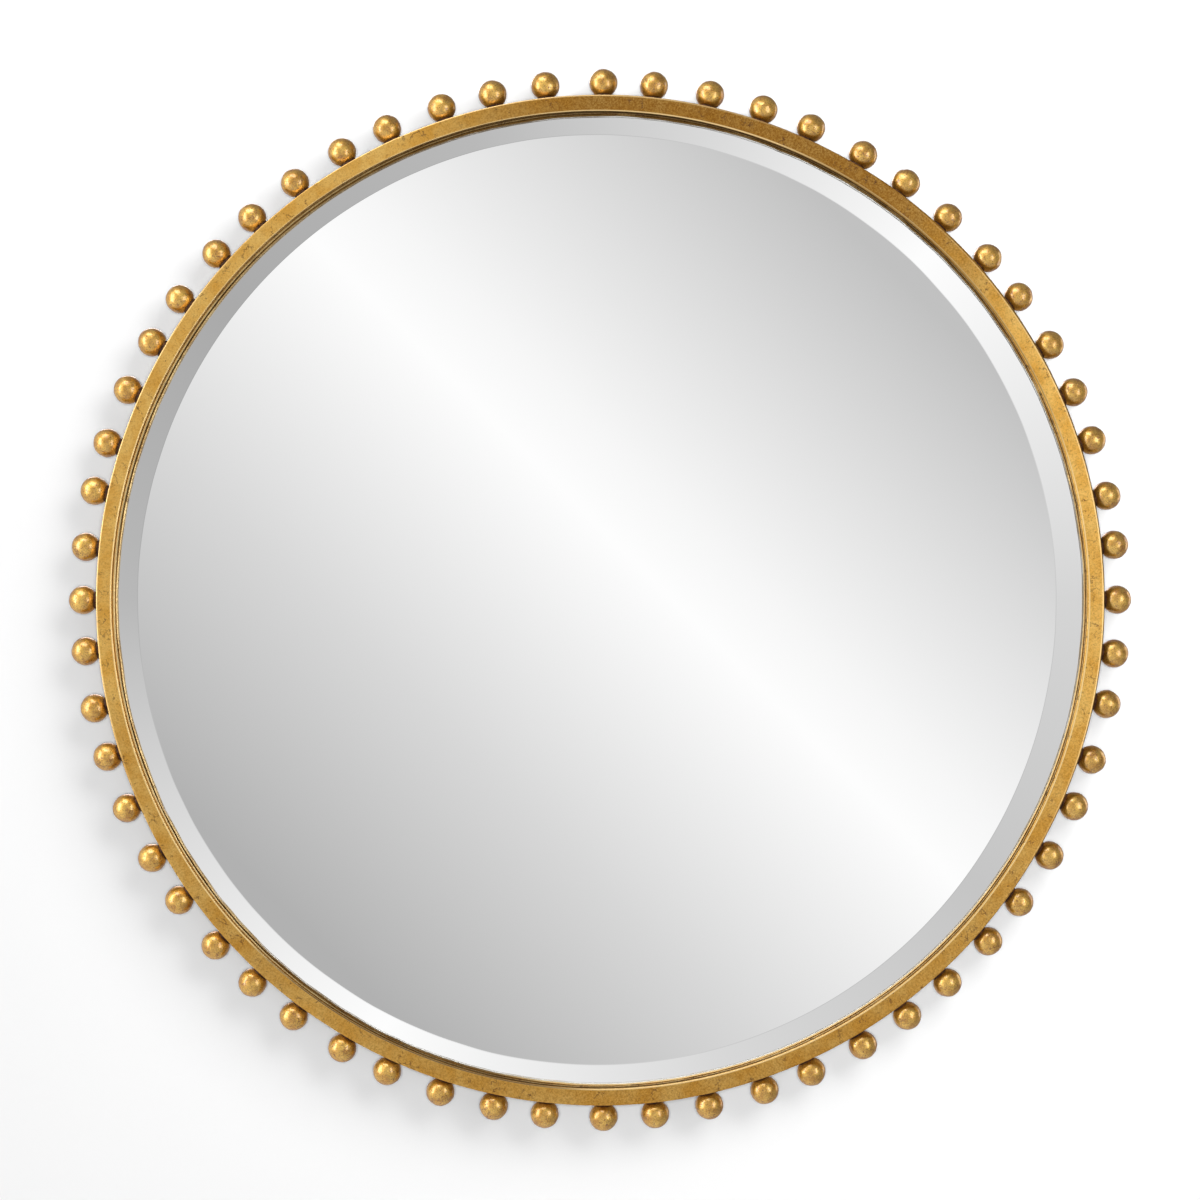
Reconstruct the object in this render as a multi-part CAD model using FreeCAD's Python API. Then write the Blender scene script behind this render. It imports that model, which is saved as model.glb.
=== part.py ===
"""Round wall mirror in a metal frame: a hammered band, a ring of rolled angle and a row of balls round it.

Lengths are millimetres and angles are degrees. +X is to the viewer's right, +Y points into the wall and
+Z is up. The origin is the mirror's centre on the wall's face. A depth is measured back from the front face
of the band, and an angle is counted from +X towards +Z.
"""
import FreeCAD
import Part
import math
import os

# Balls round the rim, and the welds that hold them
overall_diameter = 1016.0
bead_diameter = 27.0
bead_count = 60
bead_front_setback = 1.0
bead_wall_gap = 2.0
weld_base_radius = 9.4
weld_top_radius = 8.0
weld_height = 3.2
weld_bore_radius = 2.5

# The balls were set by eye, so their spacing wanders a little round the ring
drift_once_degrees = 0.15
drift_once_phase = 72.0
drift_twice_degrees = 0.3
drift_twice_phase = 92.0
drift_single_degrees = 0.25
drift_single_step = 137.5

# Front band and the ring of rolled angle behind it
band_thickness = 4.0
band_edge_radius = 1.0
flange_thickness = 3.0
web_thickness = 3.0
web_wall_gap = 1.0
lip_show = 5.0
lip_overlap = 6.0
lip_edge_radius = 1.2

# Mirror glass, its coating and the board behind it
glass_thickness = 5.0
bevel_width = 25.4
bevel_drop = 2.5
glass_proud = 1.0
glass_shift_x = -3.2
glass_shift_z = 1.0
coating_thickness = 0.2
coating_edge_margin = 1.5
foam_thickness = 1.0
foam_strip_width = 25.0
foam_strip_count = 5
foam_strip_pitch = 150.0
foam_edge_margin = 25.0
board_thickness = 6.0
tape_inset = 0.3
tape_edge_margin = 0.15

# Rubber blocks that centre the glass and board
block_length = 30.0
block_play = 0.1
block_rear_gap = 1.0
block_spread_angle = 12.0

# Threaded lugs inside the web, and the screws and clips that hold the board
lug_width = 12.0
lug_reach = 7.2
lug_glass_gap = 0.45
screw_radius = 2.0
screw_head_radius = 3.5
screw_head_height = 2.6
screw_grip = 7.5
screw_end_gap = 1.0
screw_play = 0.05
head_web_gap = 0.3
recess_length = 4.0
recess_width = 0.9
recess_depth = 1.3
clip_count = 8
clip_first_angle = 22.5
clip_length = 34.0
clip_width = 12.0
clip_thickness = 1.5
clip_web_gap = 0.8
clip_hole_play = 0.25

# Hanger plates, folded straps and D-rings
hanger_spread_angle = 30.0
plate_length = 79.0
plate_width = 60.0
plate_thickness = 2.0
plate_corner_radius = 8.0
hanger_screw_pitch = 30.0
hinge_inset = 38.0
strap_sheet = 1.2
strap_width = 13.0
strap_length = 40.0
strap_corner_radius = 3.0
strap_ramp = 8.0
rivet_radius = 2.0
rivet_head_radius = 3.4
rivet_head_height = 1.2
rivet_tail_radius = 3.0
rivet_tail_depth = 1.0
rivet_first_drop = 13.0
rivet_end_margin = 6.0
ring_wire_radius = 1.75
ring_play = 0.25
ring_half_width = 12.5
ring_corner_radius = 4.0
ring_reach = 24.0
ring_strap_gap = 0.3

# Rubber bumpers between the board and the wall
bumper_count = 4
bumper_first_angle = 45.0
bumper_edge_inset = 37.0
bumper_base_radius = 11.0
bumper_face_radius = 9.5
bumper_edge_radius = 1.2
bumper_recess_radius = 4.6
bumper_recess_depth = 7.0
bumper_bore_radius = 2.1
bumper_screw_radius = 1.75
bumper_screw_bite = 4.8
bumper_pilot_depth = 5.3

# How far a cutting tool runs past what it cuts
overrun = 1.0

full_turn = 360.0
half_turn = 180.0
quarter_turn = 90.0

# Radii that follow
bead_radius = bead_diameter / 2
bead_pitch_radius = overall_diameter / 2 - bead_radius
rim_radius = bead_pitch_radius - bead_radius
web_inner_radius = rim_radius - web_thickness
lug_inner_radius = web_inner_radius - lug_reach
glass_shift = math.hypot(glass_shift_x, glass_shift_z)
glass_radius = lug_inner_radius - lug_glass_gap - glass_shift
bevel_inner_radius = glass_radius - bevel_width
lip_inner_radius = glass_radius - lip_overlap
band_inner_radius = lip_inner_radius + lip_show
lug_screw_radius = web_inner_radius - head_web_gap - screw_head_radius
plate_outer_radius = web_inner_radius - clip_web_gap
hinge_radius = plate_outer_radius - hinge_inset
bumper_pitch_radius = glass_radius - bumper_edge_inset

# Depths that follow, from the front face back to the wall
overall_depth = bead_front_setback + bead_diameter + bead_wall_gap
bead_depth = bead_front_setback + bead_radius
flange_rear = band_thickness + flange_thickness
web_rear = overall_depth - web_wall_gap
glass_front = flange_rear - glass_proud
bevel_edge = glass_front + bevel_drop
glass_rear = glass_front + glass_thickness
coating_rear = glass_rear + coating_thickness
foam_rear = coating_rear + foam_thickness
board_rear = foam_rear + board_thickness
plate_rear = board_rear + plate_thickness
strap_rear = plate_rear + 2 * strap_sheet
loop_bore_radius = ring_wire_radius + ring_play
loop_outer_radius = loop_bore_radius + strap_sheet
hinge_depth = plate_rear + loop_outer_radius
bumper_floor = overall_depth - bumper_recess_depth

# The D-ring hangs down over its strap, tilted just enough to clear it
ring_lift = strap_rear + ring_strap_gap + ring_wire_radius - hinge_depth
ring_rest_angle = math.degrees(math.asin(ring_lift / ring_reach))

hanger_angles = {
    "right": quarter_turn - hanger_spread_angle,
    "left": quarter_turn + hanger_spread_angle,
}
clip_angles = [clip_first_angle + i * full_turn / clip_count for i in range(clip_count)]
bumper_angles = [bumper_first_angle + i * full_turn / bumper_count for i in range(bumper_count)]
block_angles = [
    0,
    quarter_turn - block_spread_angle,
    quarter_turn + block_spread_angle,
    half_turn,
    -quarter_turn - block_spread_angle,
    -quarter_turn + block_spread_angle,
]
bead_sides = ("right", "top", "left", "bottom")

to_wall = FreeCAD.Vector(0, 1, 0)
to_right = FreeCAD.Vector(1, 0, 0)
turn_axis = FreeCAD.Vector(0, -1, 0)
glass_centre = FreeCAD.Vector(glass_shift_x, 0, glass_shift_z)


def point(x, depth, z):
    """A point from its place across, its depth behind the front face and its height."""
    return FreeCAD.Vector(x, depth - overall_depth, z)


def outward(angle):
    """The direction from the mirror's centre towards one angle."""
    return FreeCAD.Vector(math.cos(math.radians(angle)), 0, math.sin(math.radians(angle)))


def polar(radius, angle, depth=overall_depth):
    """A point at a radius and an angle round the mirror's centre."""
    across, up = outward(angle).x, outward(angle).z
    return point(radius * across, depth, radius * up)


def disc(radius, front, rear, centre=FreeCAD.Vector()):
    """A flat round plate between two depths."""
    return Part.makeCylinder(radius, rear - front, point(centre.x, front, centre.z), to_wall)


def hoop(inner_radius, outer_radius, front, rear):
    """A flat ring between two depths."""
    bore = disc(inner_radius, front - overrun, rear + overrun)
    return disc(outer_radius, front, rear).cut(bore)


def turned(outline, centre=FreeCAD.Vector()):
    """The solid that an outline of (radius, depth) points makes when it turns about the depth axis."""
    points = [point(radius, depth, 0) for radius, depth in outline]
    face = Part.Face(Part.makePolygon(points + points[:1]))
    solid = face.revolve(FreeCAD.Vector(), to_wall, full_turn)
    solid.translate(FreeCAD.Vector(centre.x, 0, centre.z))
    return solid


def block(x_range, depth_range, z_range):
    """A square-edged block between two places across, two depths and two heights."""
    size = [high - low for low, high in (x_range, depth_range, z_range)]
    return Part.makeBox(*size, point(x_range[0], depth_range[0], z_range[0]))


def swung(shape, angle):
    """A copy of a shape, turned round the mirror's centre."""
    copy = shape.copy()
    copy.rotate(FreeCAD.Vector(), turn_axis, angle)
    return copy


def round_edges(solid, radius, chosen):
    """The solid with a fillet along each edge that the test chooses."""
    return solid.makeFillet(radius, [edge for edge in solid.Edges if chosen(edge)])


def is_circle_at(radius, depth):
    """A test for the full circles of one radius at one depth."""
    def chosen(edge):
        curve = edge.Curve
        if not isinstance(curve, Part.Circle):
            return False
        place = curve.Center.y + overall_depth
        return math.isclose(curve.Radius, radius) and math.isclose(place, depth, abs_tol=radius * 1e-6)
    return chosen


def is_corner_at(axis, place):
    """A test for the straight edges that run towards the wall at one place along X or Z."""
    def chosen(edge):
        first, last = edge.Vertexes[0].Point, edge.Vertexes[-1].Point
        along_depth = math.isclose(first.x, last.x) and math.isclose(first.z, last.z)
        return along_depth and math.isclose(getattr(first, axis), place)
    return chosen


def front_band():
    """The flat hammered hoop that faces the room, its two front edges rounded over."""
    solid = hoop(band_inner_radius, rim_radius, 0, band_thickness)
    for radius in (band_inner_radius, rim_radius):
        solid = round_edges(solid, band_edge_radius, is_circle_at(radius, 0))
    return solid


def angle_ring():
    """The ring rolled from steel angle: its flange holds the glass, and its web carries the balls."""
    flange = hoop(lip_inner_radius, rim_radius, band_thickness, flange_rear)
    web = hoop(web_inner_radius, rim_radius, band_thickness, web_rear)
    solid = flange.fuse(web).removeSplitter()
    return round_edges(solid, lip_edge_radius, is_circle_at(lip_inner_radius, band_thickness))


def bead_angle(index):
    """The place of one ball round the ring, with the wander of spacing set by eye."""
    even = index * full_turn / bead_count
    once = drift_once_degrees * math.cos(math.radians(even + drift_once_phase))
    twice = drift_twice_degrees * math.cos(math.radians(2 * even + drift_twice_phase))
    single = drift_single_degrees * math.sin(math.radians(index * drift_single_step))
    return even + once + twice + single


def bead_runs():
    """The balls in four runs, each named for its side of the mirror."""
    ball = Part.makeSphere(bead_radius, polar(bead_pitch_radius, 0, bead_depth))
    runs = {side: [] for side in bead_sides}
    for index in range(bead_count):
        quarter = round(index * len(bead_sides) / bead_count) % len(bead_sides)
        runs[bead_sides[quarter]].append(swung(ball, bead_angle(index)))
    return {"beads_" + side: Part.makeCompound(balls) for side, balls in runs.items()}


def bead_welds():
    """A collar of weld between each ball and the rim, hollow where the ball touches."""
    root = polar(rim_radius - overrun, 0, bead_depth)
    slope = (weld_base_radius - weld_top_radius) / weld_height
    base_radius = weld_base_radius + slope * overrun
    cone = Part.makeCone(base_radius, weld_top_radius, weld_height + overrun, root, to_right)
    ball = Part.makeSphere(bead_radius, polar(bead_pitch_radius, 0, bead_depth))
    rim = disc(rim_radius, 0, overall_depth)
    bore = Part.makeCylinder(weld_bore_radius, weld_height + overrun, root, to_right)
    collar = cone.cut(rim).cut(ball).cut(bore)
    return Part.makeCompound([swung(collar, bead_angle(index)) for index in range(bead_count)])


def mirror_glass():
    """The round glass with its wide front bevel."""
    outline = [
        (0, glass_front),
        (bevel_inner_radius, glass_front),
        (glass_radius, bevel_edge),
        (glass_radius, glass_rear),
        (0, glass_rear),
    ]
    return turned(outline, glass_centre)


def silver_coating():
    """The silver and its protective paint on the back of the glass, clear of the ground edge."""
    return disc(glass_radius - coating_edge_margin, glass_rear, coating_rear, glass_centre)


def glazing_tape():
    """The wedge-shaped strip between the lip and the bevel, all the way round."""
    inner_radius = lip_inner_radius + tape_inset
    outer_radius = glass_radius - glass_shift - tape_edge_margin
    return hoop(inner_radius, outer_radius, flange_rear, bevel_edge).cut(mirror_glass())


def foam_strips():
    """Upright strips of foam tape that bond the coated glass to the board."""
    strips = []
    half_width = foam_strip_width / 2
    for number in range(foam_strip_count):
        middle = (number - (foam_strip_count - 1) / 2) * foam_strip_pitch
        side = abs(middle) + half_width
        half_length = math.sqrt((glass_radius - foam_edge_margin) ** 2 - side ** 2)
        across = (glass_shift_x + middle - half_width, glass_shift_x + middle + half_width)
        along = (glass_shift_z - half_length, glass_shift_z + half_length)
        strips.append(block(across, (coating_rear, foam_rear), along))
    return Part.makeCompound(strips)


def bumper_places(depth):
    """The four bumpers' places, at one depth."""
    return [polar(bumper_pitch_radius, angle, depth) + glass_centre for angle in bumper_angles]


def backing_board():
    """The board cut to the size of the glass, with a pilot hole for each bumper's screw."""
    board = disc(glass_radius, foam_rear, board_rear, glass_centre)
    for place in bumper_places(board_rear - bumper_pilot_depth):
        pilot = bumper_screw_radius + screw_play
        board = board.cut(Part.makeCylinder(pilot, bumper_pilot_depth + overrun, place, to_wall))
    return board


def setting_blocks():
    """Rubber blocks that fill the gap from the glass and board out to the web."""
    half_length = block_length / 2
    outer = math.sqrt(web_inner_radius ** 2 - half_length ** 2) - block_play
    blocks = []
    for angle in block_angles:
        inner = glass_radius + glass_centre.dot(outward(angle)) + block_play
        depths = (flange_rear, board_rear - block_rear_gap)
        blocks.append(swung(block((inner, outer), depths, (-half_length, half_length)), angle))
    return Part.makeCompound(blocks)


def lug_screw_spread():
    """The angle from a hanger plate's middle to each of its two screws."""
    return math.degrees(math.asin(hanger_screw_pitch / 2 / lug_screw_radius))


def hanger_screw_angles(side):
    """The places of one hanger plate's two screws round the ring."""
    return [hanger_angles[side] - lug_screw_spread(), hanger_angles[side] + lug_screw_spread()]


def lugs(angles):
    """Threaded steel lugs welded into the corner of the ring, one at each angle."""
    half_width = lug_width / 2
    depths = (flange_rear, board_rear)
    body = block((lug_inner_radius, web_inner_radius), depths, (-half_width, half_width))
    body = body.common(disc(web_inner_radius, flange_rear, board_rear))
    hole_depth = screw_grip + screw_end_gap
    mouth = polar(lug_screw_radius, 0, board_rear - hole_depth)
    hole = Part.makeCylinder(screw_radius + screw_play, hole_depth + overrun, mouth, to_wall)
    lug = body.cut(hole)
    return Part.makeCompound([swung(lug, angle) for angle in angles])


def cross_recess(seat, top_depth):
    """The cross-shaped recess cut into a screw's head."""
    half_length = recess_length / 2
    half_width = recess_width / 2
    depths = (top_depth - recess_depth, top_depth + overrun)
    arms = [(half_length, half_width), (half_width, half_length)]
    cuts = [block((-across, across), depths, (-up, up)) for across, up in arms]
    cross = cuts[0].fuse(cuts[1])
    cross.translate(FreeCAD.Vector(seat.x, 0, seat.z))
    return cross


def screw(seat, seat_depth, shank_radius, shank_length):
    """A cheese-head screw: its head rests on a seat and its shank runs towards the front."""
    head_top = seat_depth + screw_head_height
    head = disc(screw_head_radius, seat_depth, head_top, seat)
    head = round_edges(head, recess_width / 2, is_circle_at(screw_head_radius, head_top))
    tip = [
        (0, seat_depth - shank_length),
        (shank_radius / 2, seat_depth - shank_length),
        (shank_radius, seat_depth - shank_length + shank_radius / 2),
        (shank_radius, seat_depth),
        (0, seat_depth),
    ]
    return head.fuse(turned(tip, seat)).cut(cross_recess(seat, head_top))


def lug_screws(angles, seat_depth):
    """The screws that go through a plate or a clip into the lugs at these angles."""
    length = screw_grip + seat_depth - board_rear
    places = [polar(lug_screw_radius, angle) for angle in angles]
    return Part.makeCompound([screw(place, seat_depth, screw_radius, length) for place in places])


def retaining_clip(angle):
    """A flat steel strip screwed to its lug, its rounded end pressing on the board."""
    half_width = clip_width / 2
    inner = plate_outer_radius - clip_length + half_width
    depths = (board_rear, board_rear + clip_thickness)
    strip = block((inner, plate_outer_radius), depths, (-half_width, half_width))
    strip = strip.fuse(disc(half_width, *depths, FreeCAD.Vector(inner, 0, 0))).removeSplitter()
    hole = disc(screw_radius + clip_hole_play, depths[0] - overrun, depths[1] + overrun,
                FreeCAD.Vector(lug_screw_radius, 0, 0))
    return swung(strip.cut(hole), angle)


def hinge_place(side):
    """The middle of one D-ring's hinge."""
    return polar(hinge_radius, hanger_angles[side], hinge_depth)


def rivet_places(side):
    """The two rivets of one strap, below its hinge."""
    hinge = hinge_place(side)
    drops = (rivet_first_drop, strap_length - rivet_end_margin)
    return [FreeCAD.Vector(hinge.x, 0, hinge.z - drop) for drop in drops]


def hanger_plate(side):
    """The steel plate that spreads a D-ring's load into two lugs of the ring."""
    half_width = plate_width / 2
    inner = plate_outer_radius - plate_length
    depths = (board_rear, plate_rear)
    plate = block((inner, plate_outer_radius + overrun), depths, (-half_width, half_width))
    plate = round_edges(plate, plate_corner_radius, is_corner_at("x", inner))
    plate = plate.common(disc(plate_outer_radius, *depths))
    plate = swung(plate, hanger_angles[side])
    for angle in hanger_screw_angles(side):
        hole = disc(screw_radius + clip_hole_play, depths[0] - overrun, depths[1] + overrun,
                    polar(lug_screw_radius, angle))
        plate = plate.cut(hole)
    for place in rivet_places(side):
        hole = disc(rivet_radius + screw_play, depths[0] - overrun, depths[1] + overrun, place)
        flare = [
            (0, board_rear),
            (rivet_tail_radius + screw_play, board_rear),
            (rivet_radius + screw_play, board_rear + rivet_tail_depth),
            (0, board_rear + rivet_tail_depth),
        ]
        plate = plate.cut(hole).cut(turned(flare, place))
    return plate


def hanger_strap(side):
    """The strap of folded sheet, riveted flat to the plate, with the loop that holds the D-ring."""
    hinge = hinge_place(side)
    half_width = strap_width / 2
    run = math.hypot(strap_ramp, strap_rear - hinge_depth)
    slope = math.atan2(hinge_depth - strap_rear, strap_ramp)
    tangent = slope + math.asin(loop_outer_radius / run)
    length = math.sqrt(run ** 2 - loop_outer_radius ** 2)
    outline = [
        (plate_rear, 0),
        (plate_rear, -strap_length),
        (strap_rear, -strap_length),
        (strap_rear, -strap_ramp),
        (strap_rear + length * math.sin(tangent), length * math.cos(tangent) - strap_ramp),
        (hinge_depth, 0),
    ]
    points = [point(hinge.x - half_width, depth, hinge.z + height) for depth, height in outline]
    face = Part.Face(Part.makePolygon(points + points[:1]))
    legs = face.extrude(to_right * strap_width)
    legs = round_edges(legs, strap_corner_radius, is_corner_at("z", hinge.z - strap_length))
    base = hinge - to_right * half_width
    loop = Part.makeCylinder(loop_outer_radius, strap_width, base, to_right)
    bore_base = base - to_right * overrun
    bore = Part.makeCylinder(loop_bore_radius, strap_width + 2 * overrun, bore_base, to_right)
    strap = legs.fuse(loop).cut(bore)
    for place in rivet_places(side):
        strap = strap.cut(disc(rivet_radius + screw_play, plate_rear - overrun, strap_rear + overrun, place))
    return strap.removeSplitter()


def strap_rivets():
    """Dome-head rivets through strap and plate, their tails flush with the plate's underside."""
    rivets = []
    for side in hanger_angles:
        for place in rivet_places(side):
            shank = [
                (0, board_rear),
                (rivet_tail_radius, board_rear),
                (rivet_radius, board_rear + rivet_tail_depth),
                (rivet_radius, strap_rear),
                (0, strap_rear),
            ]
            crown = (rivet_head_radius ** 2 + rivet_head_height ** 2) / (2 * rivet_head_height)
            centre = point(place.x, strap_rear + rivet_head_height - crown, place.z)
            dome = Part.makeSphere(crown, centre)
            head = disc(rivet_head_radius, strap_rear, strap_rear + rivet_head_height, place)
            rivets.append(turned(shank, place).fuse(dome.common(head)))
    return Part.makeCompound(rivets)


def d_ring(side):
    """The D-shaped ring of round wire, hanging down over its strap."""
    hinge = hinge_place(side)
    half = ring_half_width
    corner = ring_corner_radius
    bar_end = half - corner
    side_end = ring_reach - half
    bend = corner * (1 - math.sin(math.radians(quarter_turn / 2)))

    def at(x, drop):
        return FreeCAD.Vector(hinge.x + x, hinge.y, hinge.z - drop)

    edges = [
        Part.LineSegment(at(0, 0), at(bar_end, 0)),
        Part.Arc(at(bar_end, 0), at(half - bend, bend), at(half, corner)),
        Part.LineSegment(at(half, corner), at(half, side_end)),
        Part.Arc(at(half, side_end), at(0, ring_reach), at(-half, side_end)),
        Part.LineSegment(at(-half, side_end), at(-half, corner)),
        Part.Arc(at(-half, corner), at(bend - half, bend), at(-bar_end, 0)),
        Part.LineSegment(at(-bar_end, 0), at(0, 0)),
    ]
    path = Part.Wire([edge.toShape() for edge in edges])
    section = Part.Wire(Part.makeCircle(ring_wire_radius, hinge, to_right))
    ring = path.makePipeShell([section], True, False)
    ring.rotate(hinge, to_right, ring_rest_angle)
    return ring


def wall_bumper(place):
    """A tapered rubber foot with a deep recess for its screw."""
    outline = [
        (bumper_bore_radius, board_rear),
        (bumper_base_radius, board_rear),
        (bumper_face_radius, overall_depth),
        (bumper_recess_radius, overall_depth),
        (bumper_recess_radius, bumper_floor),
        (bumper_bore_radius, bumper_floor),
    ]
    foot = turned(outline, place)
    return round_edges(foot, bumper_edge_radius, is_circle_at(bumper_face_radius, overall_depth))


def bumper_screws():
    """The short screws that hold the bumpers to the board."""
    length = bumper_floor - board_rear + bumper_screw_bite
    places = bumper_places(overall_depth)
    return Part.makeCompound([screw(place, bumper_floor, bumper_screw_radius, length) for place in places])


def all_parts():
    """Every named piece of the mirror."""
    hanger_lug_angles = [angle for side in hanger_angles for angle in hanger_screw_angles(side)]
    parts = {
        "front_band": front_band(),
        "angle_ring": angle_ring(),
        "bead_welds": bead_welds(),
        "mirror_glass": mirror_glass(),
        "silver_coating": silver_coating(),
        "glazing_tape": glazing_tape(),
        "foam_strips": foam_strips(),
        "backing_board": backing_board(),
        "setting_blocks": setting_blocks(),
        "clip_lugs": lugs(clip_angles),
        "clip_screws": lug_screws(clip_angles, board_rear + clip_thickness),
        "hanger_lugs": lugs(hanger_lug_angles),
        "hanger_plate_screws": lug_screws(hanger_lug_angles, plate_rear),
        "strap_rivets": strap_rivets(),
        "bumper_screws": bumper_screws(),
    }
    parts.update(bead_runs())
    for number, angle in enumerate(clip_angles, start=1):
        parts["retaining_clip_" + str(number)] = retaining_clip(angle)
    for side in hanger_angles:
        parts["hanger_plate_" + side] = hanger_plate(side)
        parts["hanger_strap_" + side] = hanger_strap(side)
        parts["d_ring_" + side] = d_ring(side)
    for number, place in enumerate(bumper_places(overall_depth), start=1):
        parts["wall_bumper_" + str(number)] = wall_bumper(place)
    return parts


def main():
    """Check each piece and write it to its own file."""
    os.makedirs("parts", exist_ok=True)
    parts = all_parts()
    for name, shape in parts.items():
        print(name, len(shape.Solids), "solids, valid:", shape.isValid(), "volume:", round(shape.Volume, 2))
        shape.exportStep(os.path.join("parts", name + ".step"))
    box = Part.makeCompound(list(parts.values())).BoundBox
    print("size:", round(box.XLength, 2), round(box.YLength, 2), round(box.ZLength, 2))
    print("D-ring rest angle:", round(ring_rest_angle, 4))
    for side in hanger_angles:
        print("hinge", side, [round(value, 4) for value in hinge_place(side)])


main()
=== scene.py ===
"""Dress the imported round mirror: a gold-leafed hoop with balls round it, a bevelled glass and the back.

The named sizes are millimetres, as in the part's source, but the studio's are metres, as Blender's meshes
are. +X is to the viewer's right, +Y points into the wall and +Z is up. A depth is measured back from the
band's front face, and an angle is counted in degrees from +X towards +Z.
"""

import logging
import math
from collections.abc import Callable, Iterator, Sequence
from contextlib import contextmanager
from dataclasses import dataclass, field
from enum import Enum
from typing import Any

import bmesh
import bpy
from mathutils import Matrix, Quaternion, Vector


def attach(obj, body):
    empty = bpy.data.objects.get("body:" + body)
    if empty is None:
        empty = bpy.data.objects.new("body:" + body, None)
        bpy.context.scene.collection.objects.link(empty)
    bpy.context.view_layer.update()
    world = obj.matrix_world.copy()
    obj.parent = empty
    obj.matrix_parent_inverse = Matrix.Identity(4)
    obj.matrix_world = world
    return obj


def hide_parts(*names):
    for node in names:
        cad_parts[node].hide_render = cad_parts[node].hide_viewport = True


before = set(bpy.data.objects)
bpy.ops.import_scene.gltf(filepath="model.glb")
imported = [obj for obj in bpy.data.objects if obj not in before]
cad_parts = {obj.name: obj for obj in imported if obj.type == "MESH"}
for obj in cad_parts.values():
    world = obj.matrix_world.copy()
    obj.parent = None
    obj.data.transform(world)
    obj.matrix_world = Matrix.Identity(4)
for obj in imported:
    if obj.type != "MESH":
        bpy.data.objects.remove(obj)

log = logging.getLogger("round_mirror")

Piece = bpy.types.Object
Material = bpy.types.Material
Tree = bpy.types.NodeTree
Node = bpy.types.Node
Socket = bpy.types.NodeSocket
Values = dict[str | int, Any]
Pair = tuple[float, float]
Triple = tuple[float, float, float]
Tones = tuple[tuple[float, str], ...]
Outline = Sequence[Pair]
Test = Callable[[Vector], bool]

MM = 0.001
OVERALL_DEPTH = 30.0
RIM = 481.0
GOLDEN_TURN = math.radians(137.5)
FINE_STEPS = 720
MERGE_DISTANCE = 0.005
FULL_TURN = 360.0

# What most of a noise pattern's values lie between
NOISE_LOW = 0.3
NOISE_HIGH = 0.7

# Inputs and output of a Mix node set to colours, which share their names with its other kinds
MIX_FACTOR = 0
MIX_A = 6
MIX_B = 7
MIX_RESULT = 2


class Body(Enum):
    """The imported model's body that the new pieces ride on."""

    MIRROR = "mirror"


class Slot(Enum):
    """The record's material slots for the new pieces' finishes."""

    BAND = "leafed_band"
    RING = "leafed_ring"
    BEADS = "leafed_beads"
    WELD = "dark_weld"
    GLASS = "mirror_glass"


class Side(Enum):
    """The four runs of balls round the rim."""

    RIGHT = "right"
    TOP = "top"
    LEFT = "left"
    BOTTOM = "bottom"


def linear(colour: str) -> tuple[float, float, float, float]:
    """Turn an sRGB hex colour into the linear one that Blender's sockets take, by the standard curve.

    Args:
        colour: Six hex digits, such as "C8963C".

    Returns:
        Red, green, blue and a full alpha.
    """
    parts = []
    for start in (0, 2, 4):
        value = int(colour[start:start + 2], 16) / 255
        parts.append(value / 12.92 if value <= 0.04045 else ((value + 0.055) / 1.055) ** 2.4)
    return (*parts, 1.0)


def feed(node: Node, values: Values) -> None:
    """Give a node its settings, input values and links.

    Args:
        node: The node.
        values: By property name or by input. A socket is linked, and "stops" are a colour ramp's places
            and colours.
    """
    for name, value in values.items():
        if name == "stops":
            elements = node.color_ramp.elements
            while len(elements) < len(value):
                elements.new(1.0)
            for element, (place, colour) in zip(elements, value):
                element.position = place
                element.color = linear(colour)
        elif isinstance(value, Socket):
            node.id_data.links.new(value, node.inputs[name])
        elif isinstance(name, str) and hasattr(node, name):
            setattr(node, name, value)
        else:
            node.inputs[name].default_value = value


def add_node(tree: Tree, kind: str, values: Values | None = None, output: int | str = 0) -> Socket:
    """Add one node with its settings and links.

    Args:
        tree: The tree that gets the node.
        kind: Blender's name for the node, without "ShaderNode".
        values: What it is fed.
        output: The output that is wanted.

    Returns:
        That output.
    """
    node = tree.nodes.new("ShaderNode" + kind)
    feed(node, values or {})
    return node.outputs[output]


def new_material(name: str) -> tuple[Material, Tree, Node, Socket]:
    """Start a material with its surface shader alone.

    Args:
        name: The material's name.

    Returns:
        The material, its node tree, its Principled shader and a point's place on the object.
    """
    material = bpy.data.materials.new(name)
    material.use_nodes = True
    tree = material.node_tree
    return material, tree, tree.nodes["Principled BSDF"], add_node(tree, "TexCoord", output="Object")


def choose_object(piece: Piece) -> None:
    """Select one object alone and make it active."""
    bpy.ops.object.select_all(action="DESELECT")
    piece.select_set(True)
    bpy.context.view_layer.objects.active = piece


@contextmanager
def editing(piece: Piece) -> Iterator[None]:
    """Hold one piece in edit mode.

    Args:
        piece: The object to edit.

    Yields:
        Nothing; the piece is back in object mode afterwards.
    """
    choose_object(piece)
    bpy.ops.object.mode_set(mode="EDIT")
    yield
    bpy.ops.object.mode_set(mode="OBJECT")


def choose_points(piece: Piece, test: Test) -> None:
    """Select the points of a piece in edit mode that a test accepts, with the edges between them.

    Args:
        piece: The object in edit mode.
        test: Takes a point's place and says whether it is chosen.
    """
    bpy.ops.mesh.select_mode(type="VERT")
    bpy.ops.mesh.select_all(action="DESELECT")
    mesh = bmesh.from_edit_mesh(piece.data)
    for point in mesh.verts:
        point.select_set(test(point.co))
    mesh.select_flush(True)
    bmesh.update_edit_mesh(piece.data)


def from_axis(point: Vector) -> float:
    """A point's distance from the mirror's depth axis."""
    return math.hypot(point.x, point.z)


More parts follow.
